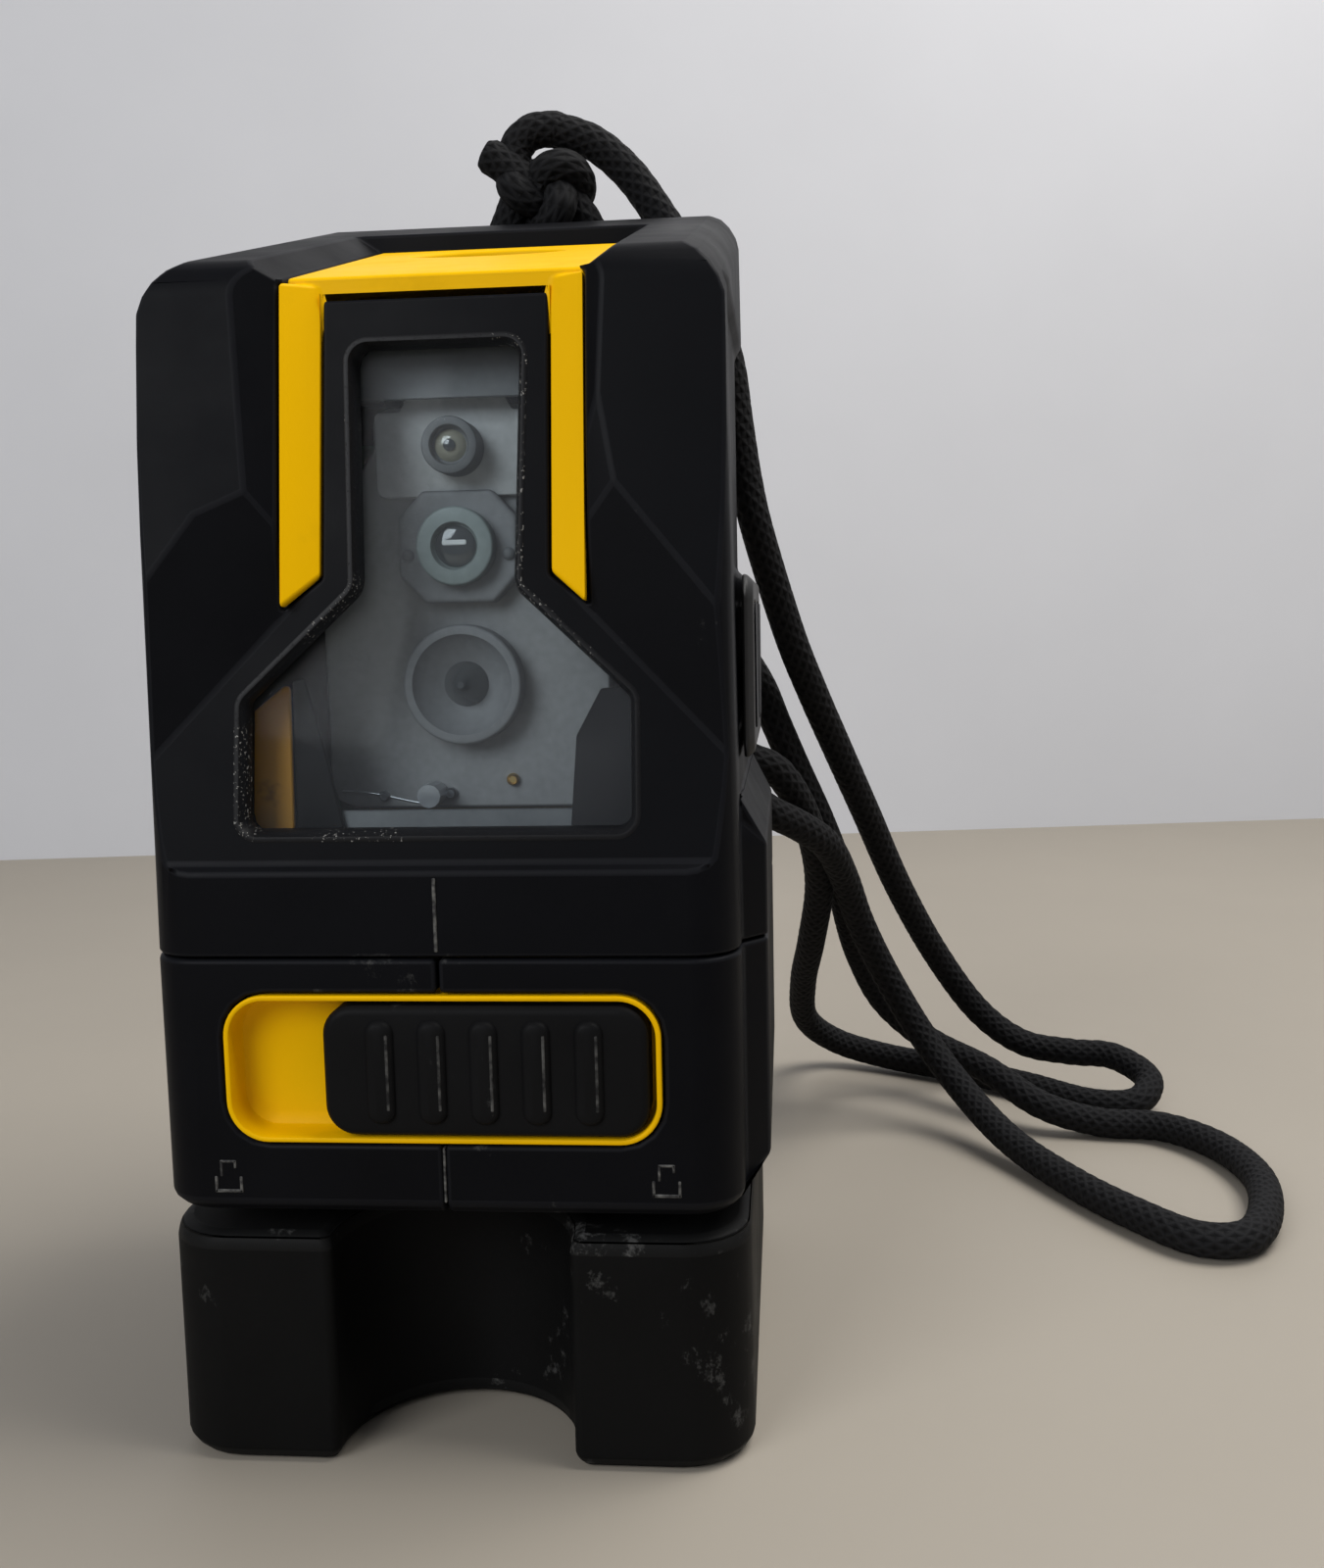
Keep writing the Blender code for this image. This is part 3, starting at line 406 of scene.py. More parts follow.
print("shell finishes:", RUBBER.name, YELLOW.name, GREY_METAL.name)

# %% [markdown]
# ## Glass
#
# The front window is a flat pane. What makes it read as glass is what it
# mirrors: little when seen square on, more at a slant. So it is a mix of
# clear and glossy by a Fresnel term, with a faint grey veil of dust. The lip
# round it is satin black, and its inner edge is chipped in places.

# %% Glass finishes


def pane_glass(name, veil):
    """Clear where the Fresnel term is low and glossy where it is high, over a veil of dust."""
    made, shader = shader_of(name, (0.40, 0.41, 0.44), 0.05)
    clear = node(made, "BsdfTransparent")
    clear.inputs["Color"].default_value = (0.90, 0.93, 0.94, 1)
    mirror = node(made, "Fresnel")
    mirror.inputs["IOR"].default_value = 1.22
    dust = grey_ramp(made, noise(made, 38, 3), (0.35, veil * 0.5), (0.7, veil * 1.6))
    share = math_of(made, "ADD", mirror.outputs[0], dust)
    blend = node(made, "MixShader")
    link(made, share, blend.inputs[0])
    link(made, clear.outputs[0], blend.inputs[1])
    link(made, shader.outputs[0], blend.inputs[2])
    link(made, blend.outputs[0], made.node_tree.nodes["Material Output"].inputs["Surface"])
    return made


def chipped_lip():
    """Satin black with pale chips: fine specks, kept only where a broad noise is high."""
    made, shader = shader_of("chipped_lip", (0.006, 0.006, 0.007), 0.42, Specular_IOR_Level=0.15)
    specks = grey_ramp(made, noise(made, 2600, 2), (0.62, 0.0), (0.67, 1.0))
    places = grey_ramp(made, noise(made, 60, 2), (0.50, 0.0), (0.56, 1.0))
    chips = math_of(made, "MULTIPLY", specks, places)
    link(made, mixed(made, chips, (0.006, 0.006, 0.007), (0.24, 0.235, 0.22)), shader.inputs["Base Color"])
    bump(made, shader, specks, 0.00006, 0.5)
    return made


WINDOW_GLASS = pane_glass("window_pane", 0.032)
CHIPPED_LIP = chipped_lip()
LENS_GLASS = shader_of("coated_lens", (0.30, 0.285, 0.22), 0.12, Coat_Weight=1.0)[0]
DARK_LENS = shader_of("dark_lens", (0.060, 0.064, 0.066), 0.10, Coat_Weight=1.0)[0]
# Painted glint: a near-white coat for the bright slot on the line lens.
LAMP_GLINT = shader_of("painted_slot_glint", (0.92, 0.93, 0.92), 0.15, Coat_Weight=1.0)[0]
GLOSS_BLACK = smooth_plastic("gloss_black", (0.003, 0.003, 0.0035), 0.35, 0.3, 0.05)
print("glass finishes:", WINDOW_GLASS.name, LENS_GLASS.name)

# %% [markdown]
# ## Dress the frame's own nodes
#
# Many of the frame's solids are already the right shape: battery cells, the
# circuit board, threads, magnets. They only need a finish, by material slot.

# %% Finishes by slot
FINISH_OF_SLOT = {
    "black_rubber": RUBBER, "black_plastic": BLACK_PLASTIC, "yellow_plastic": YELLOW,
    "window_glass": WINDOW_GLASS, "lens_glass": LENS_GLASS, "grey_metal": GREY_METAL,
    "steel": STEEL, "brass": BRASS, "board_green": BOARD, "cell_sleeve": CELL, "braid": RUBBER,
}
SLOT_OF_NODE = {entry["node"]: entry["material_slot"] for entry in frame["record"]["subparts"]}
for name, solid in NODES.items():
    solid.data.materials.clear()
    solid.data.materials.append(FINISH_OF_SLOT[SLOT_OF_NODE[name]])
print("slots dressed:", len(set(SLOT_OF_NODE.values())))

# %% [markdown]
# ## Softened mouldings
#
# A moulded shell has no sharp edge anywhere. The frame already holds each
# shell's exact form, so a copy of it is merged, its flat faces are joined
# again, and a Bevel modifier rounds its real edges. The shallow edges between
# the narrow strips of a round are left alone: they are already the round, and
# a bevel wider than a strip would fold over itself. The bevel's new faces
# take the edge finish: on the rubber, wear and a painted highlight.

# %% Softened copies
import bmesh

MERGE = 0.00002
FLAT_ANGLE = math.radians(1.0)
CREASE_ANGLE = math.radians(9.0)
HARD_ANGLE = math.radians(24.0)
NARROW = 2.5


def body_of_node(name):
    """The body that a node of the frame rides on."""
    return NODES[name]["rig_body"]


def crease_weight(edge):
    """1 on a hard edge, or on a shallow one between two wide faces; 0 between the strips of a round."""
    if len(edge.link_faces) != 2:
        return 0.0
    turn = edge.calc_face_angle(0)
    room = min(face.calc_area() for face in edge.link_faces) / max(edge.calc_length(), MERGE) / MM
    return float(turn > HARD_ANGLE or (turn > CREASE_ANGLE and room > NARROW))


def softened(name, width, finish, edge_finish, segments=3):
    """A merged copy of the frame's solid with its corners rounded to this width."""
    mesh = NODES[name].data.copy()
    work = bmesh.new()
    work.from_mesh(mesh)
    bmesh.ops.remove_doubles(work, verts=work.verts, dist=MERGE)
    bmesh.ops.dissolve_limit(work, angle_limit=FLAT_ANGLE, verts=work.verts, edges=work.edges)
    for face in work.faces:
        face.smooth = True
        face.material_index = 0
    weight = work.edges.layers.float.new("bevel_weight_edge")
    for edge in work.edges:
        edge[weight] = crease_weight(edge)
    work.to_mesh(mesh)
    work.free()
    mesh.materials.clear()
    mesh.materials.append(finish)
    mesh.materials.append(edge_finish)
    made = bpy.data.objects.new(name + "_moulding", mesh)
    bpy.context.scene.collection.objects.link(made)
    rounding = made.modifiers.new("rounded_edges", "BEVEL")
    rounding.width = width * MM
    rounding.segments = segments
    rounding.limit_method = "WEIGHT"
    rounding.use_clamp_overlap = False
    rounding.miter_outer = "MITER_ARC"
    # The bevel faces take the edge finish, which on the rubber is painted lighter as a highlight as well as
    # worn.
    rounding.material = 1
    flats = made.modifiers.new("flat_faces_stay_flat", "WEIGHTED_NORMAL")
    flats.mode = "FACE_AREA"
    flats.weight = 80
    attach(made, body_of_node(name))
    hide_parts(name)
    return made


# The rubber shells' bevels get the edge finish: wear plus a painted highlight.
for name, width in (("upper_housing", 0.4), ("lower_housing_left", 0.55), ("lower_housing_right", 0.55)):
    softened(name, width, RUBBER, RUBBER_EDGE_WEAR_AND_HIGHLIGHT)
softened("battery_door", 0.35, RUBBER, RUBBER_EDGE_WEAR_AND_HIGHLIGHT, 2)
softened("pivot_base", 0.9, BASE_RUBBER, BASE_EDGE_WEAR_AND_HIGHLIGHT, 4)
softened("side_pad_left", 0.3, SIDE_GREY, SIDE_GREY, 2)
softened("keypad_frame", 0.3, SIDE_GREY, SIDE_GREY, 2)
softened("lanyard_lug", 0.5, BLACK_PLASTIC, BLACK_PLASTIC, 2)
softened("yellow_bezel", 0.45, YELLOW, YELLOW, 3)
print("softened mouldings done")

# %% [markdown]
# ## Surfaces from outlines
#
# Most small pieces are slabs with a rounded edge: a button, a tray, a lens, a
# ring. One recipe makes them all. An outline is drawn once; a profile says how
# far each ring of points is set in from it, and how high it stands; the rings
# are joined into a grid and the two ends are closed.

# %% Outlines and slabs
SEAM = 1e-6


def rounded_outline(corners, steps=8):
    """Corners (u, v, radius) joined by straight lines, each corner an arc that touches both its lines."""
    spots = np.array([corner[:2] for corner in corners], float)
    radii = np.array([corner[2] for corner in corners], float)
    back = np.roll(spots, 1, axis=0) - spots
    ahead = np.roll(spots, -1, axis=0) - spots
    back /= np.linalg.norm(back, axis=1)[:, None]
    ahead /= np.linalg.norm(ahead, axis=1)[:, None]
    half = np.arccos(np.clip((back * ahead).sum(axis=1), -1, 1)) / 2
    middle = back + ahead
    middle /= np.linalg.norm(middle, axis=1)[:, None]
    centre = spots + middle * (radii / np.sin(half))[:, None]
    start = spots + back * (radii / np.tan(half))[:, None] - centre
    end = spots + ahead * (radii / np.tan(half))[:, None] - centre
    first = np.arctan2(start[:, 1], start[:, 0])
    turn = np.arctan2(end[:, 1], end[:, 0]) - first
    turn = (turn + np.pi) % (2 * np.pi) - np.pi
    angle = first[:, None] + turn[:, None] * np.linspace(0, 1, steps)[None]
    arcs = np.stack([np.cos(angle), np.sin(angle)], axis=2) * radii[:, None, None]
    return (centre[:, None, :] + arcs).reshape(-1, 2)


def box_outline(low, high, radius, steps=8):
    """A rectangle between two corners, each of its own corners an arc of this radius."""
    corners = [(low[0], low[1]), (high[0], low[1]), (high[0], high[1]), (low[0], high[1])]
    return rounded_outline([(u, v, radius) for u, v in corners], steps)


def round_outline(centre, radius, steps=48):
    """Centre plus radius times (cos, sin) of evenly spaced angles."""
    angle = np.arange(steps) * 2 * np.pi / steps
    return np.array(centre) + radius * np.stack([np.cos(angle), np.sin(angle)], axis=1)


def outward(outline):
    """The unit direction out of a closed outline at each of its points: its chord turned by a right angle."""
    chord = np.roll(outline, -1, axis=0) - np.roll(outline, 1, axis=0)
    chord /= np.maximum(np.linalg.norm(chord, axis=1), 1e-9)[:, None]
    area = (outline[:, 0] * np.roll(outline[:, 1], -1) - outline[:, 1] * np.roll(outline[:, 0], -1)).sum()
    return np.stack([chord[:, 1], -chord[:, 0]], axis=1) * np.sign(area)


def round_edge(radius, height, steps=5):
    """(inset, height) rings of a quarter circle that ends at this height."""
    angle = np.linspace(0, np.pi / 2, steps)
    return [(radius * (1 - math.cos(a)), height - radius + radius * math.sin(a)) for a in angle]


def ring_grid(outline, profile):
    """Rings of (u, v, height): the outline moved in by each inset and lifted to each height."""
    rings = np.array(profile, float)
    flat = outline[None] - outward(outline)[None] * rings[:, 0, None, None]
    lift = np.broadcast_to(rings[:, 1, None, None], flat.shape[:2] + (1,))
    return np.concatenate([flat, lift], axis=2)


def grid_faces(rows, columns, first=0):
    """Quads of a grid whose last column meets its first, with a face across each end."""
    row, column = np.meshgrid(np.arange(rows - 1), np.arange(columns), indexing="ij")
    beside = (column + 1) % columns
    quads = np.stack([row * columns + column, row * columns + beside,
                      (row + 1) * columns + beside, (row + 1) * columns + column], axis=2)
    last = first + (rows - 1) * columns
    ends = [list(range(first, first + columns)), list(range(last, last + columns))]
    return (quads.reshape(-1, 4) + first).tolist() + ends


def finished(name, mesh, finish, body, smooth_angle):
    """Closes a mesh's seam, turns its faces outwards, smooths it and puts it on its body."""
    work = bmesh.new()
    work.from_mesh(mesh)
    bmesh.ops.remove_doubles(work, verts=work.verts, dist=SEAM)
    bmesh.ops.recalc_face_normals(work, faces=work.faces)
    work.to_mesh(mesh)
    work.free()
    mesh.shade_smooth()
    mesh.set_sharp_from_angle(angle=math.radians(smooth_angle))
    mesh.materials.append(finish)
    made = bpy.data.objects.new(name, mesh)
    bpy.context.scene.collection.objects.link(made)
    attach(made, body)
    return made


def piece(name, grids, finish, body, smooth_angle=35, map_mesh=None):
    """One object from closed grids of points in millimetres, its faces turned outwards."""
    points, faces = [], []
    for grid in grids:
        rows, columns = grid.shape[:2]
        faces += grid_faces(rows, columns, sum(len(part) for part in points))
        points.append(grid.reshape(-1, 3))
    mesh = bpy.data.meshes.new(name)
    mesh.from_pydata((np.vstack(points) * MM).tolist(), [], faces)
    if map_mesh is not None:
        map_mesh(mesh, grids)
    return finished(name, mesh, finish, body, smooth_angle)


def facing_front(grid, y):
    """(u, v, height) to (x, y, z) on an upright plane: height stands towards the viewer."""
    return np.stack([grid[..., 0], y - grid[..., 2], grid[..., 1]], axis=-1)


print("slab recipe ready")

# %% [markdown]
# ## The power slider
#
# A yellow tray is let into the front, with a thin rim that stands proud of
# the rubber and a floor 4 mm down. The button is a rounded slab that parks on
# the right, and five upright ribs give the thumb its grip.

# %% Slider tray and button
tray_low, tray_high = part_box("slider_tray")
FRONT_Y = tray_low.y / MM
TRAY = (tray_low.x / MM, tray_low.z / MM, tray_high.x / MM, tray_high.z / MM)


def slider_tray():
    """One profile carried round the opening: outer wall, thin rim, inner wall and the start of the floor."""
    outline = box_outline(TRAY[:2], TRAY[2:], 5.0, 12)
    rim = [(0.0, -5.2), (0.0, -0.1)] + round_edge(0.22, 0.22, 4)
    wall = [(0.42, 0.22), (0.58, 0.12), (0.66, -0.1), (0.72, -2.6), (1.1, -3.4), (2.2, -3.95)]
    made = piece("slider_tray_moulding", [facing_front(ring_grid(outline, rim + wall), FRONT_Y)],
                 YELLOW, "head")
    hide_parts("slider_tray")


RIB_COUNT = 5
RIB_SPACING = 6.15
RIB_HALF = 1.75


def slider_button():
    """A slab with a quarter-round edge, its ribs as narrower slabs on it, and the stem behind."""
    low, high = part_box("power_slider")
    left, right = low.x / MM, high.x / MM
    bottom, top = low.z / MM, high.z / MM
    outline = box_outline((left, bottom), (right, top), 3.6, 10)
    profile = [(0.0, -3.6), (0.0, 0.0)] + round_edge(1.1, 0.85, 7) + [(3.0, 0.95)]
    grids = [facing_front(ring_grid(outline, profile), FRONT_Y)]
    middle = (left + right) / 2
    for i in range(RIB_COUNT):
        x = middle + (i - (RIB_COUNT - 1) / 2) * RIB_SPACING
        rib = box_outline((x - RIB_HALF, bottom + 1.6), (x + RIB_HALF, top - 1.6), RIB_HALF - 0.15, 9)
        shape = [(0.0, 0.4), (0.0, 0.75)] + round_edge(1.0, 1.70, 7) + [(1.3, 1.78)]
        grids.append(facing_front(ring_grid(rib, shape), FRONT_Y))
    stem = box_outline((-0.4, 48.2), (11.4, 53.6), 0.8, 4)
    grids.append(facing_front(ring_grid(stem, [(0.0, -8.9), (0.0, -3.0)]), FRONT_Y))
    made = piece("slider_button", grids, RIB_RUBBER, "slider")
    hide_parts("power_slider")
    worn = []
    for i in range(RIB_COUNT):
        x = middle + (i - (RIB_COUNT - 1) / 2) * RIB_SPACING + 0.95
        streak = box_outline((x - 0.2, bottom + 3.4), (x + 0.2, top - 3.2), 0.18, 4)
        worn.append(facing_front(ring_grid(streak, [(0, 0.9), (0, 1.64), (0.08, 1.70)]), FRONT_Y))
    piece("rib_wear", worn, RIB_WEAR, "slider")


RIB_RUBBER = black_rubber("slider_rubber", (0.0060, 0.0060, 0.0064), 0.52, 0.365, 0.060)
RIB_WEAR, rib_shader = shader_of("rib_wear", (0.03, 0.03, 0.03), 0.6, Specular_IOR_Level=0.2)
link(RIB_WEAR, mixed(RIB_WEAR, grey_ramp(RIB_WEAR, noise(RIB_WEAR, 700, 5), (0.40, 0.0), (0.66, 1.0)),
                     (0.009, 0.009, 0.0095), (0.085, 0.084, 0.080)), rib_shader.inputs["Base Color"])
slider_tray()
slider_button()
print("slider: tray and button with", RIB_COUNT, "ribs")

# %% [markdown]
# ## The window
#
# The opening is bottle-shaped: narrow where the upper beam leaves, wide at the
# foot where the cross line fans out. A glossy black lip lines it. The pane
# lies on the same leaning plane as the panel, so both are drawn flat, as
# (x, z), and then laid on that plane.

# %% Window lip and pane
PANEL_Y_AT_CREASE = -39.0
PANEL_LEAN = 0.161
CREASE_Z = 73.5
WINDOW_CORNERS = ((10.6, 135.2), (9.9, 106.1), (23.6, 93.2), (23.6, 77.2))


def on_panel(grid, depth):
    """(x, z, height) laid on the leaning panel, this far behind it."""
    y = PANEL_Y_AT_CREASE + PANEL_LEAN * (grid[..., 1] - CREASE_Z) + depth - grid[..., 2]
    return np.stack([grid[..., 0], y, grid[..., 1]], axis=-1)


def window_outline(grow=0.0):
    """The bottle shape, the same on both sides of its middle, moved out by this much."""
    right = [(x, z, 2.4) for x, z in WINDOW_CORNERS]
    left = [(-x, z, r) for x, z, r in reversed(right)]
    outline = rounded_outline(right + left, 10)
    return outline + outward(outline) * grow


def window_lip():
    """A ring carried round the opening: over the panel's edge and down to the glass."""
    over_edge = [(-0.5, -2.6), (-0.5, 0.02), (-0.3, 0.10), (0.1, 0.06)]
    down_to_glass = [(0.45, -0.45), (0.75, -1.6), (0.8, -2.6)]
    return on_panel(ring_grid(window_outline(), over_edge + down_to_glass), 0)


def closed_ring(name, grid, finish, body):
    """A ring-shaped piece: the grid's last row is joined back to its first, so it needs no end faces."""
    rows, columns = grid.shape[:2]
    looped = np.concatenate([grid, grid[:1]])
    mesh = bpy.data.meshes.new(name)
    mesh.from_pydata((looped.reshape(-1, 3) * MM).tolist(), [], grid_faces(rows + 1, columns)[:-2])
    return finished(name, mesh, finish, body, 40)


closed_ring("window_lip", window_lip(), CHIPPED_LIP, "head")
pane_profile = [(0.0, -1.9), (0.0, -0.2), (0.2, 0.0)]
pane = piece("window_pane", [on_panel(ring_grid(window_outline(1.2), pane_profile), 2.75)],
             WINDOW_GLASS, "head")
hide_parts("window_glass")
print("window: lip and pane")

# %% [markdown]
# ## What the window shows
#
# Behind the glass hangs a pendulum with its laser modules: a small barrel for
# the upper dot, an eight-sided block with a round line lens, and a cup with a
# cone that spreads the cross line. Gloss black wedges at both sides paint the
# dark reflections there, an amber sheet paints a yellow-brown reflection in the
# left corner, a hood closes the top and a low chin closes the foot. The screens
# are fixed to the head, far enough in front of the pendulum that it swings clear of them.

# %% Laser modules
BARREL = (0.0, 123.5)
LINE = (0.0, 111.3)
CUP = (0.0, 94.0)


def upper_barrel():
    """A stepped plate, a turned tube on it, and a lens in the tube."""
    right = [(10.4, 117.6, 1.2), (10.4, 128.2, 0.6), (7.2, 128.2, 0.6), (5.2, 131.6, 1.5)]
    left = [(-x, z, radius) for x, z, radius in reversed(right)]
    plate = rounded_outline(left[-1:] + right + left[:-1], 6)
    plate_grid = facing_front(ring_grid(plate, [(0, 0.0), (0, 1.0)] + round_edge(0.3, 1.3, 3)), -18.0)
    piece("barrel_plate", [plate_grid], PLATE_METAL, "pendulum")
    tube = [(0, -2.5), (0, 3.9)] + round_edge(0.3, 4.3, 3) + [(1.0, 4.3), (1.2, 4.0), (1.25, 3.2), (1.9, 3.0)]
    piece("barrel_tube", [facing_front(ring_grid(round_outline(BARREL, 3.5), tube), -19.5)],
          DARK_METAL, "pendulum")
    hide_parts("upper_laser_barrel")
    lens = [(0, 0.0), (0, 0.5), (0.4, 0.9), (0.9, 1.15), (1.5, 1.25)]
    made = piece("barrel_lens", [facing_front(ring_grid(round_outline(BARREL, 2.0), lens), -22.1)],
                 LENS_GLASS, "pendulum")
    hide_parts("upper_laser_lens")
    iris = [(0, 0.0), (0, 0.3), (0.2, 0.4)]
    piece("barrel_iris", [facing_front(ring_grid(round_outline(BARREL, 0.75), iris), -23.2)],
          DARK_LENS, "pendulum")


def line_module():
    """An eight-sided block, a turned ring on it, and a round lens with a painted glint on its slot."""
    x, z = LINE
    flats = [(-7.6, z - 3.6), (-4.4, z - 7.0), (4.4, z - 7.0), (7.6, z - 3.6),
             (7.6, z + 3.6), (4.4, z + 7.0), (-4.4, z + 7.0), (-7.6, z + 3.6)]
    outline = rounded_outline([(u, v, 1.0) for u, v in flats], 4)
    block = [(0, -2.0), (0, 1.6)] + round_edge(0.5, 2.1, 4) + [(0.9, 2.1)]
    made = piece("line_block", [facing_front(ring_grid(outline, block), -18.5)],
                 BLOCK_METAL, "pendulum")
    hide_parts("line_laser_housing")
    ring = [(0, 0.0), (0, 2.2)] + round_edge(0.35, 2.6, 4) + [(1.9, 2.6), (2.1, 2.2), (2.2, 1.7), (2.8, 1.5)]
    made = piece("line_ring", [facing_front(ring_grid(round_outline(LINE, 4.9), ring), -20.2)],
                 RING_METAL, "pendulum")
    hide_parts("line_laser_lens")
    lens = [(0, 0), (0, 0.4), (0.5, 0.7), (1.4, 0.85)]
    piece("line_lens", [facing_front(ring_grid(round_outline(LINE, 2.6), lens), -21.6)],
          DARK_LENS, "pendulum")
    # Painted glint: a thin near-white slab on the lens stands in for the bright slot.
    slot = box_outline((x - 1.6, z + 0.1), (x + 1.5, z + 0.75), 0.25, 4)
    piece("painted_line_glint", [facing_front(ring_grid(slot, [(0, 0), (0, 0.12), (0.1, 0.2)]), -22.35)],
          LAMP_GLINT, "pendulum")
    for side in (-1, 1):
        head = round_outline((side * 6.4, z - 1.0), 0.8, 20)
        piece(f"block_screw_{'left' if side < 0 else 'right'}",
              [facing_front(ring_grid(head, [(0, 0), (0, 0.5), (0.25, 0.75), (0.5, 0.8)]), -20.4)],
              DARK_METAL, "pendulum")


def cross_cup():
    """A turned cup: out over its rim and down a cone to a small lens."""
    cone_wall = [(1.6, 1.6), (2.6, 0.6), (4.2, -0.4), (5.4, -0.9)]
    cup = [(0, -3.0), (0, 1.9)] + round_edge(0.4, 2.3, 4) + [(1.2, 2.3)] + cone_wall
    made = piece("cross_cup", [facing_front(ring_grid(round_outline(CUP, 7.6), cup), -19.0)],
                 BLOCK_METAL, "pendulum")
    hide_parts("cross_laser_cup")
    cone = [(0, 0.0), (0.3, 0.6), (1.4, 2.4), (2.1, 3.3), (2.5, 3.6)]
    made = piece("cross_cone", [facing_front(ring_grid(round_outline(CUP, 2.9), cone), -18.4)],
                 DARK_LENS, "pendulum")
    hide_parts("cross_laser_lens")


RING_METAL = cast_metal("ring_metal", (0.27, 0.31, 0.30), 0.42, 0.1)
upper_barrel()
line_module()
cross_cup()
softened("pendulum_chassis", 0.4, GREY_METAL, GREY_METAL, 2)
print("laser modules: barrel, line block, cross cup")

# %% Screens behind the pane


def screen(name, corners, depth, finish, thick=0.6):
    """A thin plate parallel to the panel, this far behind it."""
    outline = rounded_outline([(x, z, 0.5) for x, z in corners], 4)
    return piece(name, [on_panel(ring_grid(outline, [(0, -thick), (0, -0.15), (0.15, 0)]), depth)],
                 finish, "head")


# Painted reflection: this amber sheet in the left corner stands in for a yellow-brown reflection.
AMBER_REFLECTION_PAINT = smooth_plastic("painted_amber_reflection", (0.62, 0.27, 0.004), 0.4, 0.80)
# Painted reflections: the gloss black wedges at both sides stand in for the dark reflections seen there.
DARK_REFLECTION_RIGHT = [(14.9, 77.0), (25.0, 77.0), (25.0, 94.2), (18.6, 93.6), (15.6, 88.0)]
DARK_REFLECTION_LEFT = [(-18.9, 77.0), (-13.0, 77.0), (-15.6, 87.0), (-18.0, 95.4), (-19.6, 95.2)]
screen("painted_dark_reflection_right", DARK_REFLECTION_RIGHT, 7.2, GLOSS_BLACK)
screen("painted_dark_reflection_left", DARK_REFLECTION_LEFT, 7.4, GLOSS_BLACK)
screen("painted_amber_reflection", [(-25.0, 77.0), (-19.2, 77.0), (-19.9, 95.0), (-25.0, 91.0)], 7.2, AMBER_REFLECTION_PAINT)
screen("chin", [(-20.0, 76.6), (16.0, 76.6), (16.0, 79.2), (-20.0, 79.2)], 8.4, DARK_METAL)
screen("hood", [(-12.4, 129.2), (12.4, 129.2), (12.4, 137.6), (-12.4, 137.6)], 7.3, DARK_METAL)


SEAT_Y = -17.95
TRIM_HEADS = ((-11.4, 79.6, 0.7, STEEL), (-2.6, 79.9, 0.8, STEEL), (5.6, 81.6, 0.8, BRASS))
TRIM_PROFILE = [(0, 0), (0, 0.6), (0.2, 0.8), (0.35, 0.6)]
WIRE_RADIUS = 0.16


def small_parts():
    """Spring ends and a wire at the foot of the pendulum, seated on its front face."""
    for i, (x, z, radius, finish) in enumerate(TRIM_HEADS):
        head = ring_grid(round_outline((x, z), radius, 20), TRIM_PROFILE)
        piece(f"trim_head_{i}", [facing_front(head, SEAT_Y)], finish, "pendulum")
    run, drop = np.linspace(-17.0, -5.0, 24), np.linspace(80.2, 78.6, 24)
    wire = np.stack([run, np.full(24, SEAT_Y - 0.1), drop], axis=1)
    wire[:, 2] += 0.25 * np.sin(np.linspace(0, 5, 24))
    angle = np.arange(8) * np.pi / 4
    ring = WIRE_RADIUS * np.stack([np.zeros(8), np.cos(angle), np.sin(angle)], axis=1)
    piece("trim_wire", [wire[:, None] + ring[None]], STEEL, "pendulum")


small_parts()
print("screens and small parts placed")

# %% [markdown]
# ## Marks of the mould
#
# A shell like this leaves its marks: a thin line where the mould halves met,
# rubbed pale by handling, and a small raised padlock on each side of the
# slider that shows its locked end. They are thin slabs just proud of the face.

# %% Mould lines and padlock marks
LINE_WEAR, line_shader = shader_of("worn_line", (0.03, 0.03, 0.03), 0.6)
link(LINE_WEAR, mixed(LINE_WEAR, grey_ramp(LINE_WEAR, noise(LINE_WEAR, 900, 4), (0.42, 0.0), (0.62, 1.0)),
                      (0.010, 0.010, 0.011), (0.12, 0.118, 0.11)), line_shader.inputs["Base Color"])
bump(LINE_WEAR, line_shader, noise(LINE_WEAR, 1800, 3), 0.00005, 0.6)
LINE_PROFILE = [(0, -0.3), (0, 0.03), (0.08, 0.10)]
PADLOCK_X = 26.3
PADLOCK_STROKES = (
    ((-1.7, 34.6), (1.7, 35.0)),
    ((-1.7, 34.6), (-1.35, 36.6)),
    ((1.35, 34.6), (1.7, 36.6)),
    ((-1.0, 36.6), (-0.7, 38.6)),
    ((-1.0, 38.3), (1.0, 38.6)),
    ((0.7, 37.6), (1.0, 38.6)),
)


def mould_marks():
    """Two upright mould lines, and six strokes for each padlock."""
    line = box_outline((-0.2, 63.9), (0.2, 72.6), 0.15, 3)
    foot = box_outline((-0.15, 33.6), (0.15, TRAY[1] - 0.6), 0.12, 3)
    filled = [(0, -0.9), (0, -0.12), (0.06, -0.05)]
    lines = [facing_front(ring_grid(*drawn), FRONT_Y) for drawn in ((line, LINE_PROFILE), (foot, filled))]
    piece("mould_lines_front", lines, LINE_WEAR, "head")
    marks = []
    for middle in (-PADLOCK_X, PADLOCK_X):
        for low, high in PADLOCK_STROKES:
            stroke = box_outline((middle + low[0], low[1]), (middle + high[0], high[1]), 0.1, 3)
            marks.append(facing_front(ring_grid(stroke, LINE_PROFILE), FRONT_Y))
    piece("padlock_marks", marks, LINE_WEAR, "head")


mould_marks()
print("mould line and two padlock marks")
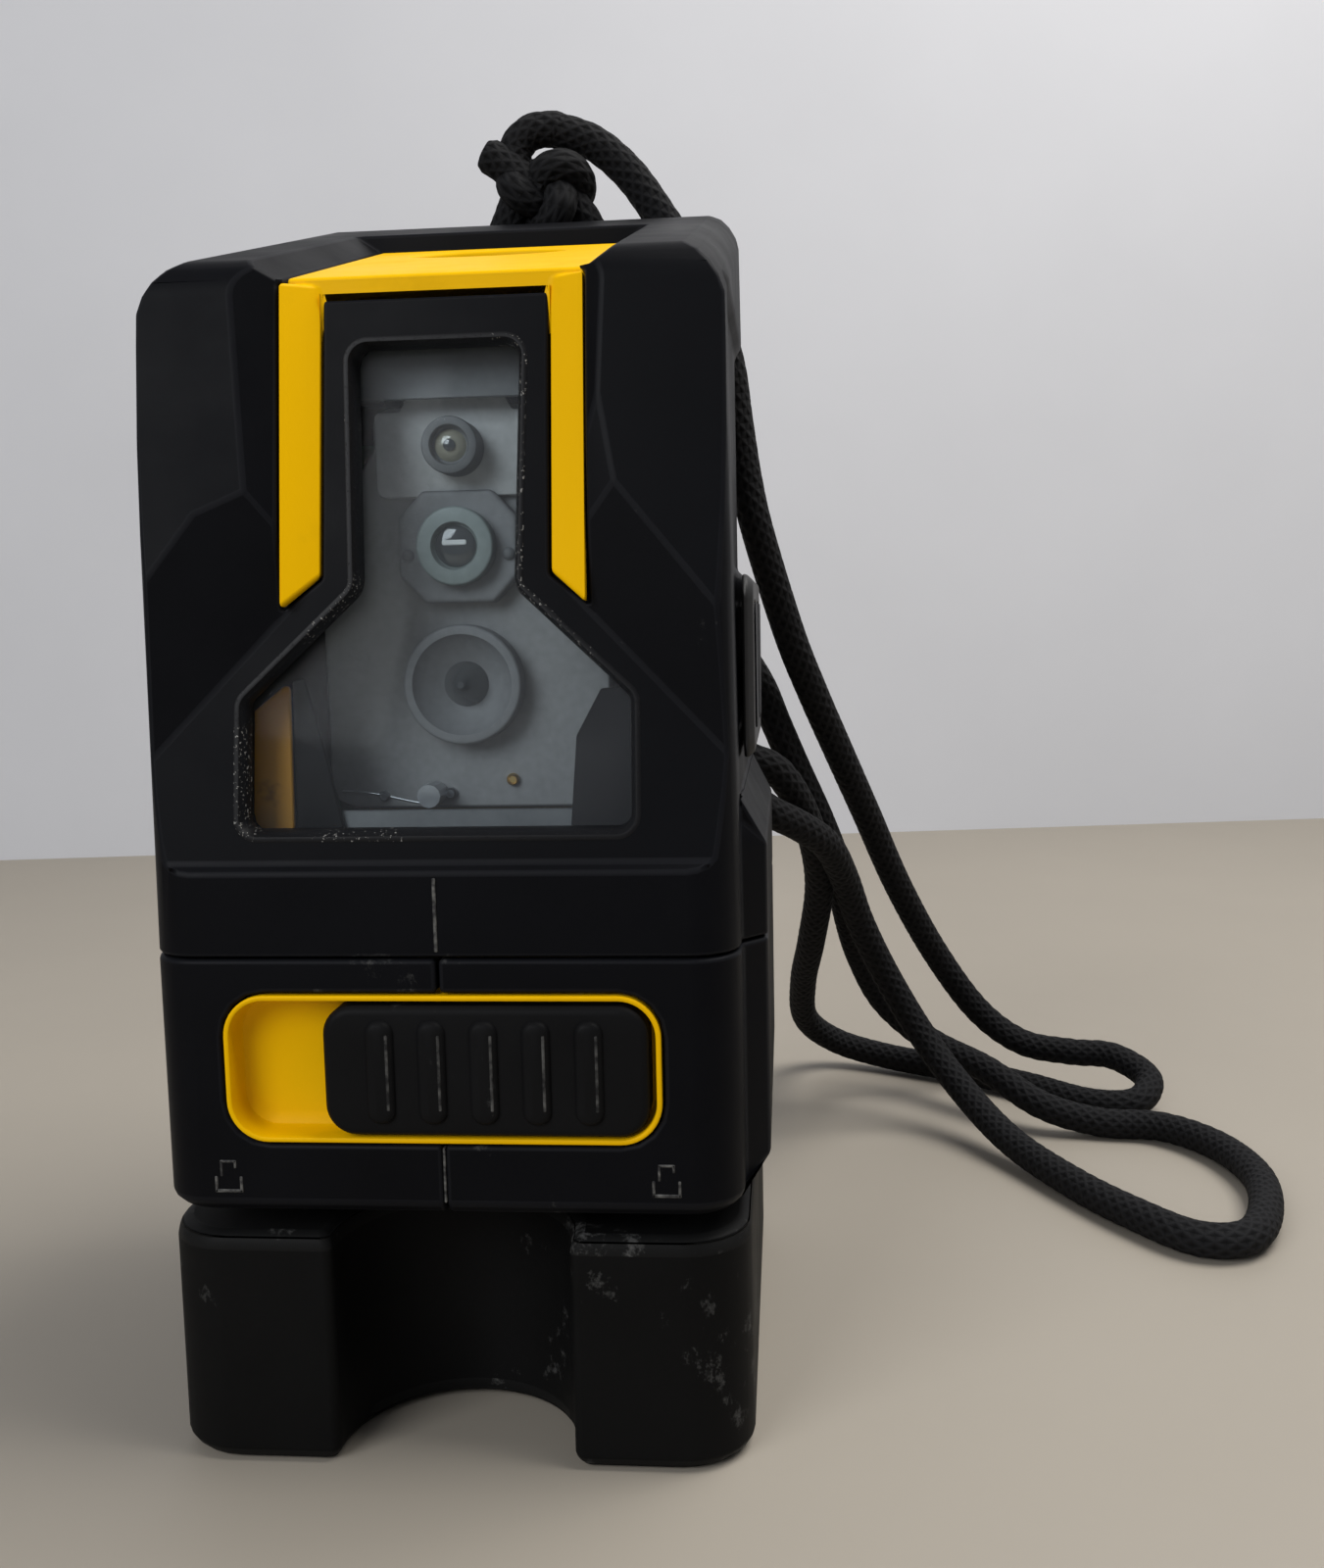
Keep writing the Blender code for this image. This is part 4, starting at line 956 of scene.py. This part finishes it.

# %% [markdown]
# ## The braided cord
#
# A braid is two sets of strands that wind round the cord both ways and pass
# over and under each other. A tube is carried along the route, and its radius
# is lifted where either set is on top, so the weave is real relief. Its own
# UV map runs round and along, for the painted shade between the strands.

# %% Braided tubes


def braid_finish():
    """Two slanting sines over the tube's own UV map cross like strands; the higher one is on top, and the
    gaps between them are painted darker as shade.
    """
    made, shader = shader_of("braided_cord", (0.006, 0.006, 0.007), 0.8, Specular_IOR_Level=0.15)
    split = node(made, "SeparateXYZ")
    link(made, node(made, "UVMap", uv_map=TUBE_UV).outputs[0], split.inputs[0])
    waves = []
    for lean in (-1, 1):
        turns = math_of(made, "MULTIPLY", split.outputs[0], 2 * math.pi * FINE_STRANDS)
        climb = math_of(made, "MULTIPLY", split.outputs[1], 2 * math.pi * FINE_STRANDS * 0.8 * lean)
        waves.append(math_of(made, "SINE", math_of(made, "ADD", turns, climb), 0.0))
    weave_and_gap_shade = math_of(made, "MAXIMUM", waves[0], waves[1])
    weave_and_gap_shade = math_of(made, "ADD", math_of(made, "MULTIPLY", weave_and_gap_shade, 0.5), 0.5)
    # Painted shade: where neither strand is on top, the gap between strands is coloured darker.
    tone = mixed(made, weave_and_gap_shade, (0.0018, 0.0018, 0.0022), (0.0105, 0.0105, 0.0115))
    lint = grey_ramp(made, noise(made, 2600, 3), (0.60, 0.0), (0.78, 0.5))
    link(made, mixed(made, lint, tone, (0.030, 0.029, 0.027)), shader.inputs["Base Color"])
    bump(made, shader, weave_and_gap_shade, 0.0003, 0.8)
    return made


TUBE_UV = "round_and_along"
FINE_STRANDS = 9
BRAID = braid_finish()
STRANDS = 6
BRAID_PITCH = 9.0
BRAID_LIFT = 0.16


def carried_frames(path):
    """Two directions across the path at each point, turned as little as they can be between points."""
    along = np.gradient(path, axis=0)
    along /= np.linalg.norm(along, axis=1)[:, None]
    side = np.empty_like(path)
    start = np.cross(along[0], (0.31, 0.17, 0.93))
    side[0] = start / np.linalg.norm(start)
    for i in range(1, len(path)):
        step = side[i - 1] - along[i] * (side[i - 1] @ along[i])
        side[i] = step / np.linalg.norm(step)
    return side, np.cross(along, side)


def braided_tube(path, diameter, around=32, frayed=False):
    """Radius = half the diameter, less the lift, plus the lift times the higher of two crossing cosines."""
    side, up = carried_frames(path)
    walked = np.concatenate([[0], np.cumsum(np.linalg.norm(np.diff(path, axis=0), axis=1))])
    angle = np.arange(around) * 2 * np.pi / around
    turn = 2 * np.pi * walked / BRAID_PITCH
    one = np.cos(STRANDS * (angle[None] + turn[:, None] / 2) / 2) ** 2
    other = np.cos(STRANDS * (angle[None] - turn[:, None] / 2) / 2) ** 2
    radius = diameter / 2 - BRAID_LIFT + BRAID_LIFT * np.maximum(one, other)
    if frayed:
        radius *= (0.80 + 0.20 * np.clip((walked[-1] - walked) / 0.9, 0, 1))[:, None]
    spokes = side[:, None] * np.cos(angle)[None, :, None] + up[:, None] * np.sin(angle)[None, :, None]
    return path[:, None] + spokes * radius[..., None]


def map_tube(made, grids):
    """A UV map for each tube: u runs round once, v runs along in units of the cord's girth."""
    parts = []
    for grid in grids:
        rows, columns = grid.shape[:2]
        step = np.linalg.norm(np.diff(grid.mean(axis=1), axis=0), axis=1)
        along = np.concatenate([[0], np.cumsum(step)]) / (math.pi * CORD_DIAMETER)
        row, column = np.meshgrid(np.arange(rows - 1), np.arange(columns), indexing="ij")
        u = np.stack([column, column + 1, column + 1, column], axis=2) / columns
        v = np.stack([along[row], along[row], along[row + 1], along[row + 1]], axis=2)
        parts.append(np.stack([u, v], axis=3).reshape(-1, 2))
        parts.append(np.zeros((2 * columns, 2)))
    layer = made.uv_layers.new(name=TUBE_UV)
    layer.data.foreach_set("uv", np.vstack(parts).astype(np.float32).ravel())


def cord_piece(name, grids):
    """A piece of braided cord, smoothed over its relief."""
    return piece(name, grids, BRAID, "head", 80, map_tube)


lanyard_path, _ = smooth_route(ROUTE, 0.55)
lanyard = cord_piece("lanyard_braid", [braided_tube(lanyard_path, CORD_DIAMETER)])
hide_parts("lanyard_cord")
print(f"lanyard: {CORD_LENGTH:.0f} mm of cord")

# %% [markdown]
# ## Knot and hitch
#
# The cord's ends are joined by an overhand knot. Pulled tight it is close to
# a trefoil: a curve that winds twice round one axis while it rises and falls
# three times. One leg runs down through the lug and back, and the cut tail
# points up to the left.

# %% Knot, tail and hitch
KNOT_SIZE = 1.9
KNOT_PLACE = (3.0, 41.0, 170.6)
HITCH = (
    (-1.2, 41.2, 171.0),
    (-3.0, 42.0, 167.6),
    (-5.4, 44.2, 163.0),
    (-5.4, 45.0, 159.0),
    (-3.0, 45.0, 156.7),
    (0.0, 45.0, 156.5),
    (5.2, 45.0, 156.5),
    (8.2, 45.0, 156.7),
    (10.6, 45.0, 159.0),
    (10.6, 44.2, 163.0),
    (8.4, 42.4, 167.2),
    (5.2, 41.2, 171.0),
)
TAIL = ((2.4, 40.0, 170.6), (-1.6, 39.4, 173.2), (-4.6, 39.0, 175.4), (-6.6, 38.8, 176.6))
TOP = (
    (-0.6, 41.0, 171.6),
    (-2.0, 40.8, 175.0),
    (-1.6, 40.85, 178.0),
    (0.9, 40.95, 180.2),
    (4.4, 41.4, 180.6),
    (5.0, 41.5, 180.45),
)


def trefoil(size, count=220):
    """x = sin t + 2 sin 2t, z = cos t - 2 cos 2t, y = sin 3t, for t from 0 to nearly 2 pi."""
    t = np.linspace(0.15, 2 * np.pi - 0.15, count)
    x = np.sin(t) + 2 * np.sin(2 * t)
    z = np.cos(t) - 2 * np.cos(2 * t)
    y = 1.7 * np.sin(3 * t) * 0.8
    return np.stack([x * size, y * size, z * size * 0.85], axis=1) + np.array(KNOT_PLACE)


knot_tubes = [braided_tube(trefoil(KNOT_SIZE), CORD_DIAMETER)]
knot_tubes.append(braided_tube(smooth_route(TAIL, 0.5)[0], CORD_DIAMETER, frayed=True))
knot_tubes.append(braided_tube(smooth_route(TOP, 0.5)[0], CORD_DIAMETER))
knot = cord_piece("lanyard_overhand_knot", knot_tubes)
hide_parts("lanyard_knot")
hitch = cord_piece("lanyard_loop", [braided_tube(smooth_route(HITCH, 0.6)[0], CORD_DIAMETER)])
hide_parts("lanyard_hitch")
print("knot, tail and hitch tied")

# %% [markdown]
# ## Floor, wall and light
#
# The floor and the wall behind are plain and pale. A large soft lamp stands
# high on the right, a weaker one fills from the front left, and a pale world
# lights the rest, so that black rubber still shows its edges.

# %% Stage
def stage_sheet(name, corners, colour, roughness):
    """One flat sheet of floor or wall, with a faint change of tone."""
    mesh = bpy.data.meshes.new(name)
    mesh.from_pydata([tuple(c * MM for c in corner) for corner in corners], [], [(0, 1, 2, 3)])
    made, shader = shader_of(name, colour, roughness)
    darker, paler = tuple(c * 0.94 for c in colour), tuple(min(1, c * 1.05) for c in colour)
    tint = mixed(made, noise(made, 9.0, 5.0), darker, paler)
    link(made, tint, shader.inputs["Base Color"])
    mesh.materials.append(made)
    sheet = bpy.data.objects.new(name, mesh)
    bpy.context.scene.collection.objects.link(sheet)
    return sheet


FLOOR_COLOUR = (0.33, 0.295, 0.245)
WALL_COLOUR = (0.585, 0.59, 0.615)
FLOOR = [(-1500, -1200, 0), (1500, -1200, 0), (1500, 700, 0), (-1500, 900, 0)]
WALL = [(-1500, 230, 0), (1500, 700, 0), (1500, 700, 1400), (-1500, 230, 1400)]
stage_sheet("floor", FLOOR, FLOOR_COLOUR, 0.6)
stage_sheet("wall", WALL, WALL_COLOUR, 0.8)


def soft_lamp(name, place, aim, size, watts, colour):
    """A square area lamp that looks from its place at the aim."""
    data = bpy.data.lights.new(name, "AREA")
    data.shape = "SQUARE"
    data.size = size * MM
    data.energy = watts
    data.color = colour
    lamp = bpy.data.objects.new(name, data)
    lamp.location = Vector(place) * MM
    lamp.rotation_euler = (Vector(aim) - Vector(place)).to_track_quat("-Z", "Y").to_euler()
    bpy.context.scene.collection.objects.link(lamp)


soft_lamp("key_lamp", (420, 60, 820), (40, 60, 60), 560, 8.0, (1.0, 0.98, 0.95))
soft_lamp("fill_lamp", (-420, -700, 520), (0, 0, 100), 500, 5.0, (0.95, 0.97, 1.0))
world = bpy.data.worlds.new("pale_room")
world.use_nodes = True
world.node_tree.nodes["Background"].inputs["Color"].default_value = (0.80, 0.83, 0.90, 1)
world.node_tree.nodes["Background"].inputs["Strength"].default_value = 0.27
bpy.context.scene.world = world
bpy.context.scene.view_settings.view_transform = "Standard"
print("stage and two lamps set")

# %% [markdown]
# ## The frame's box
#
# The finished object must stay inside the imported frame's box.

# %% End
import json
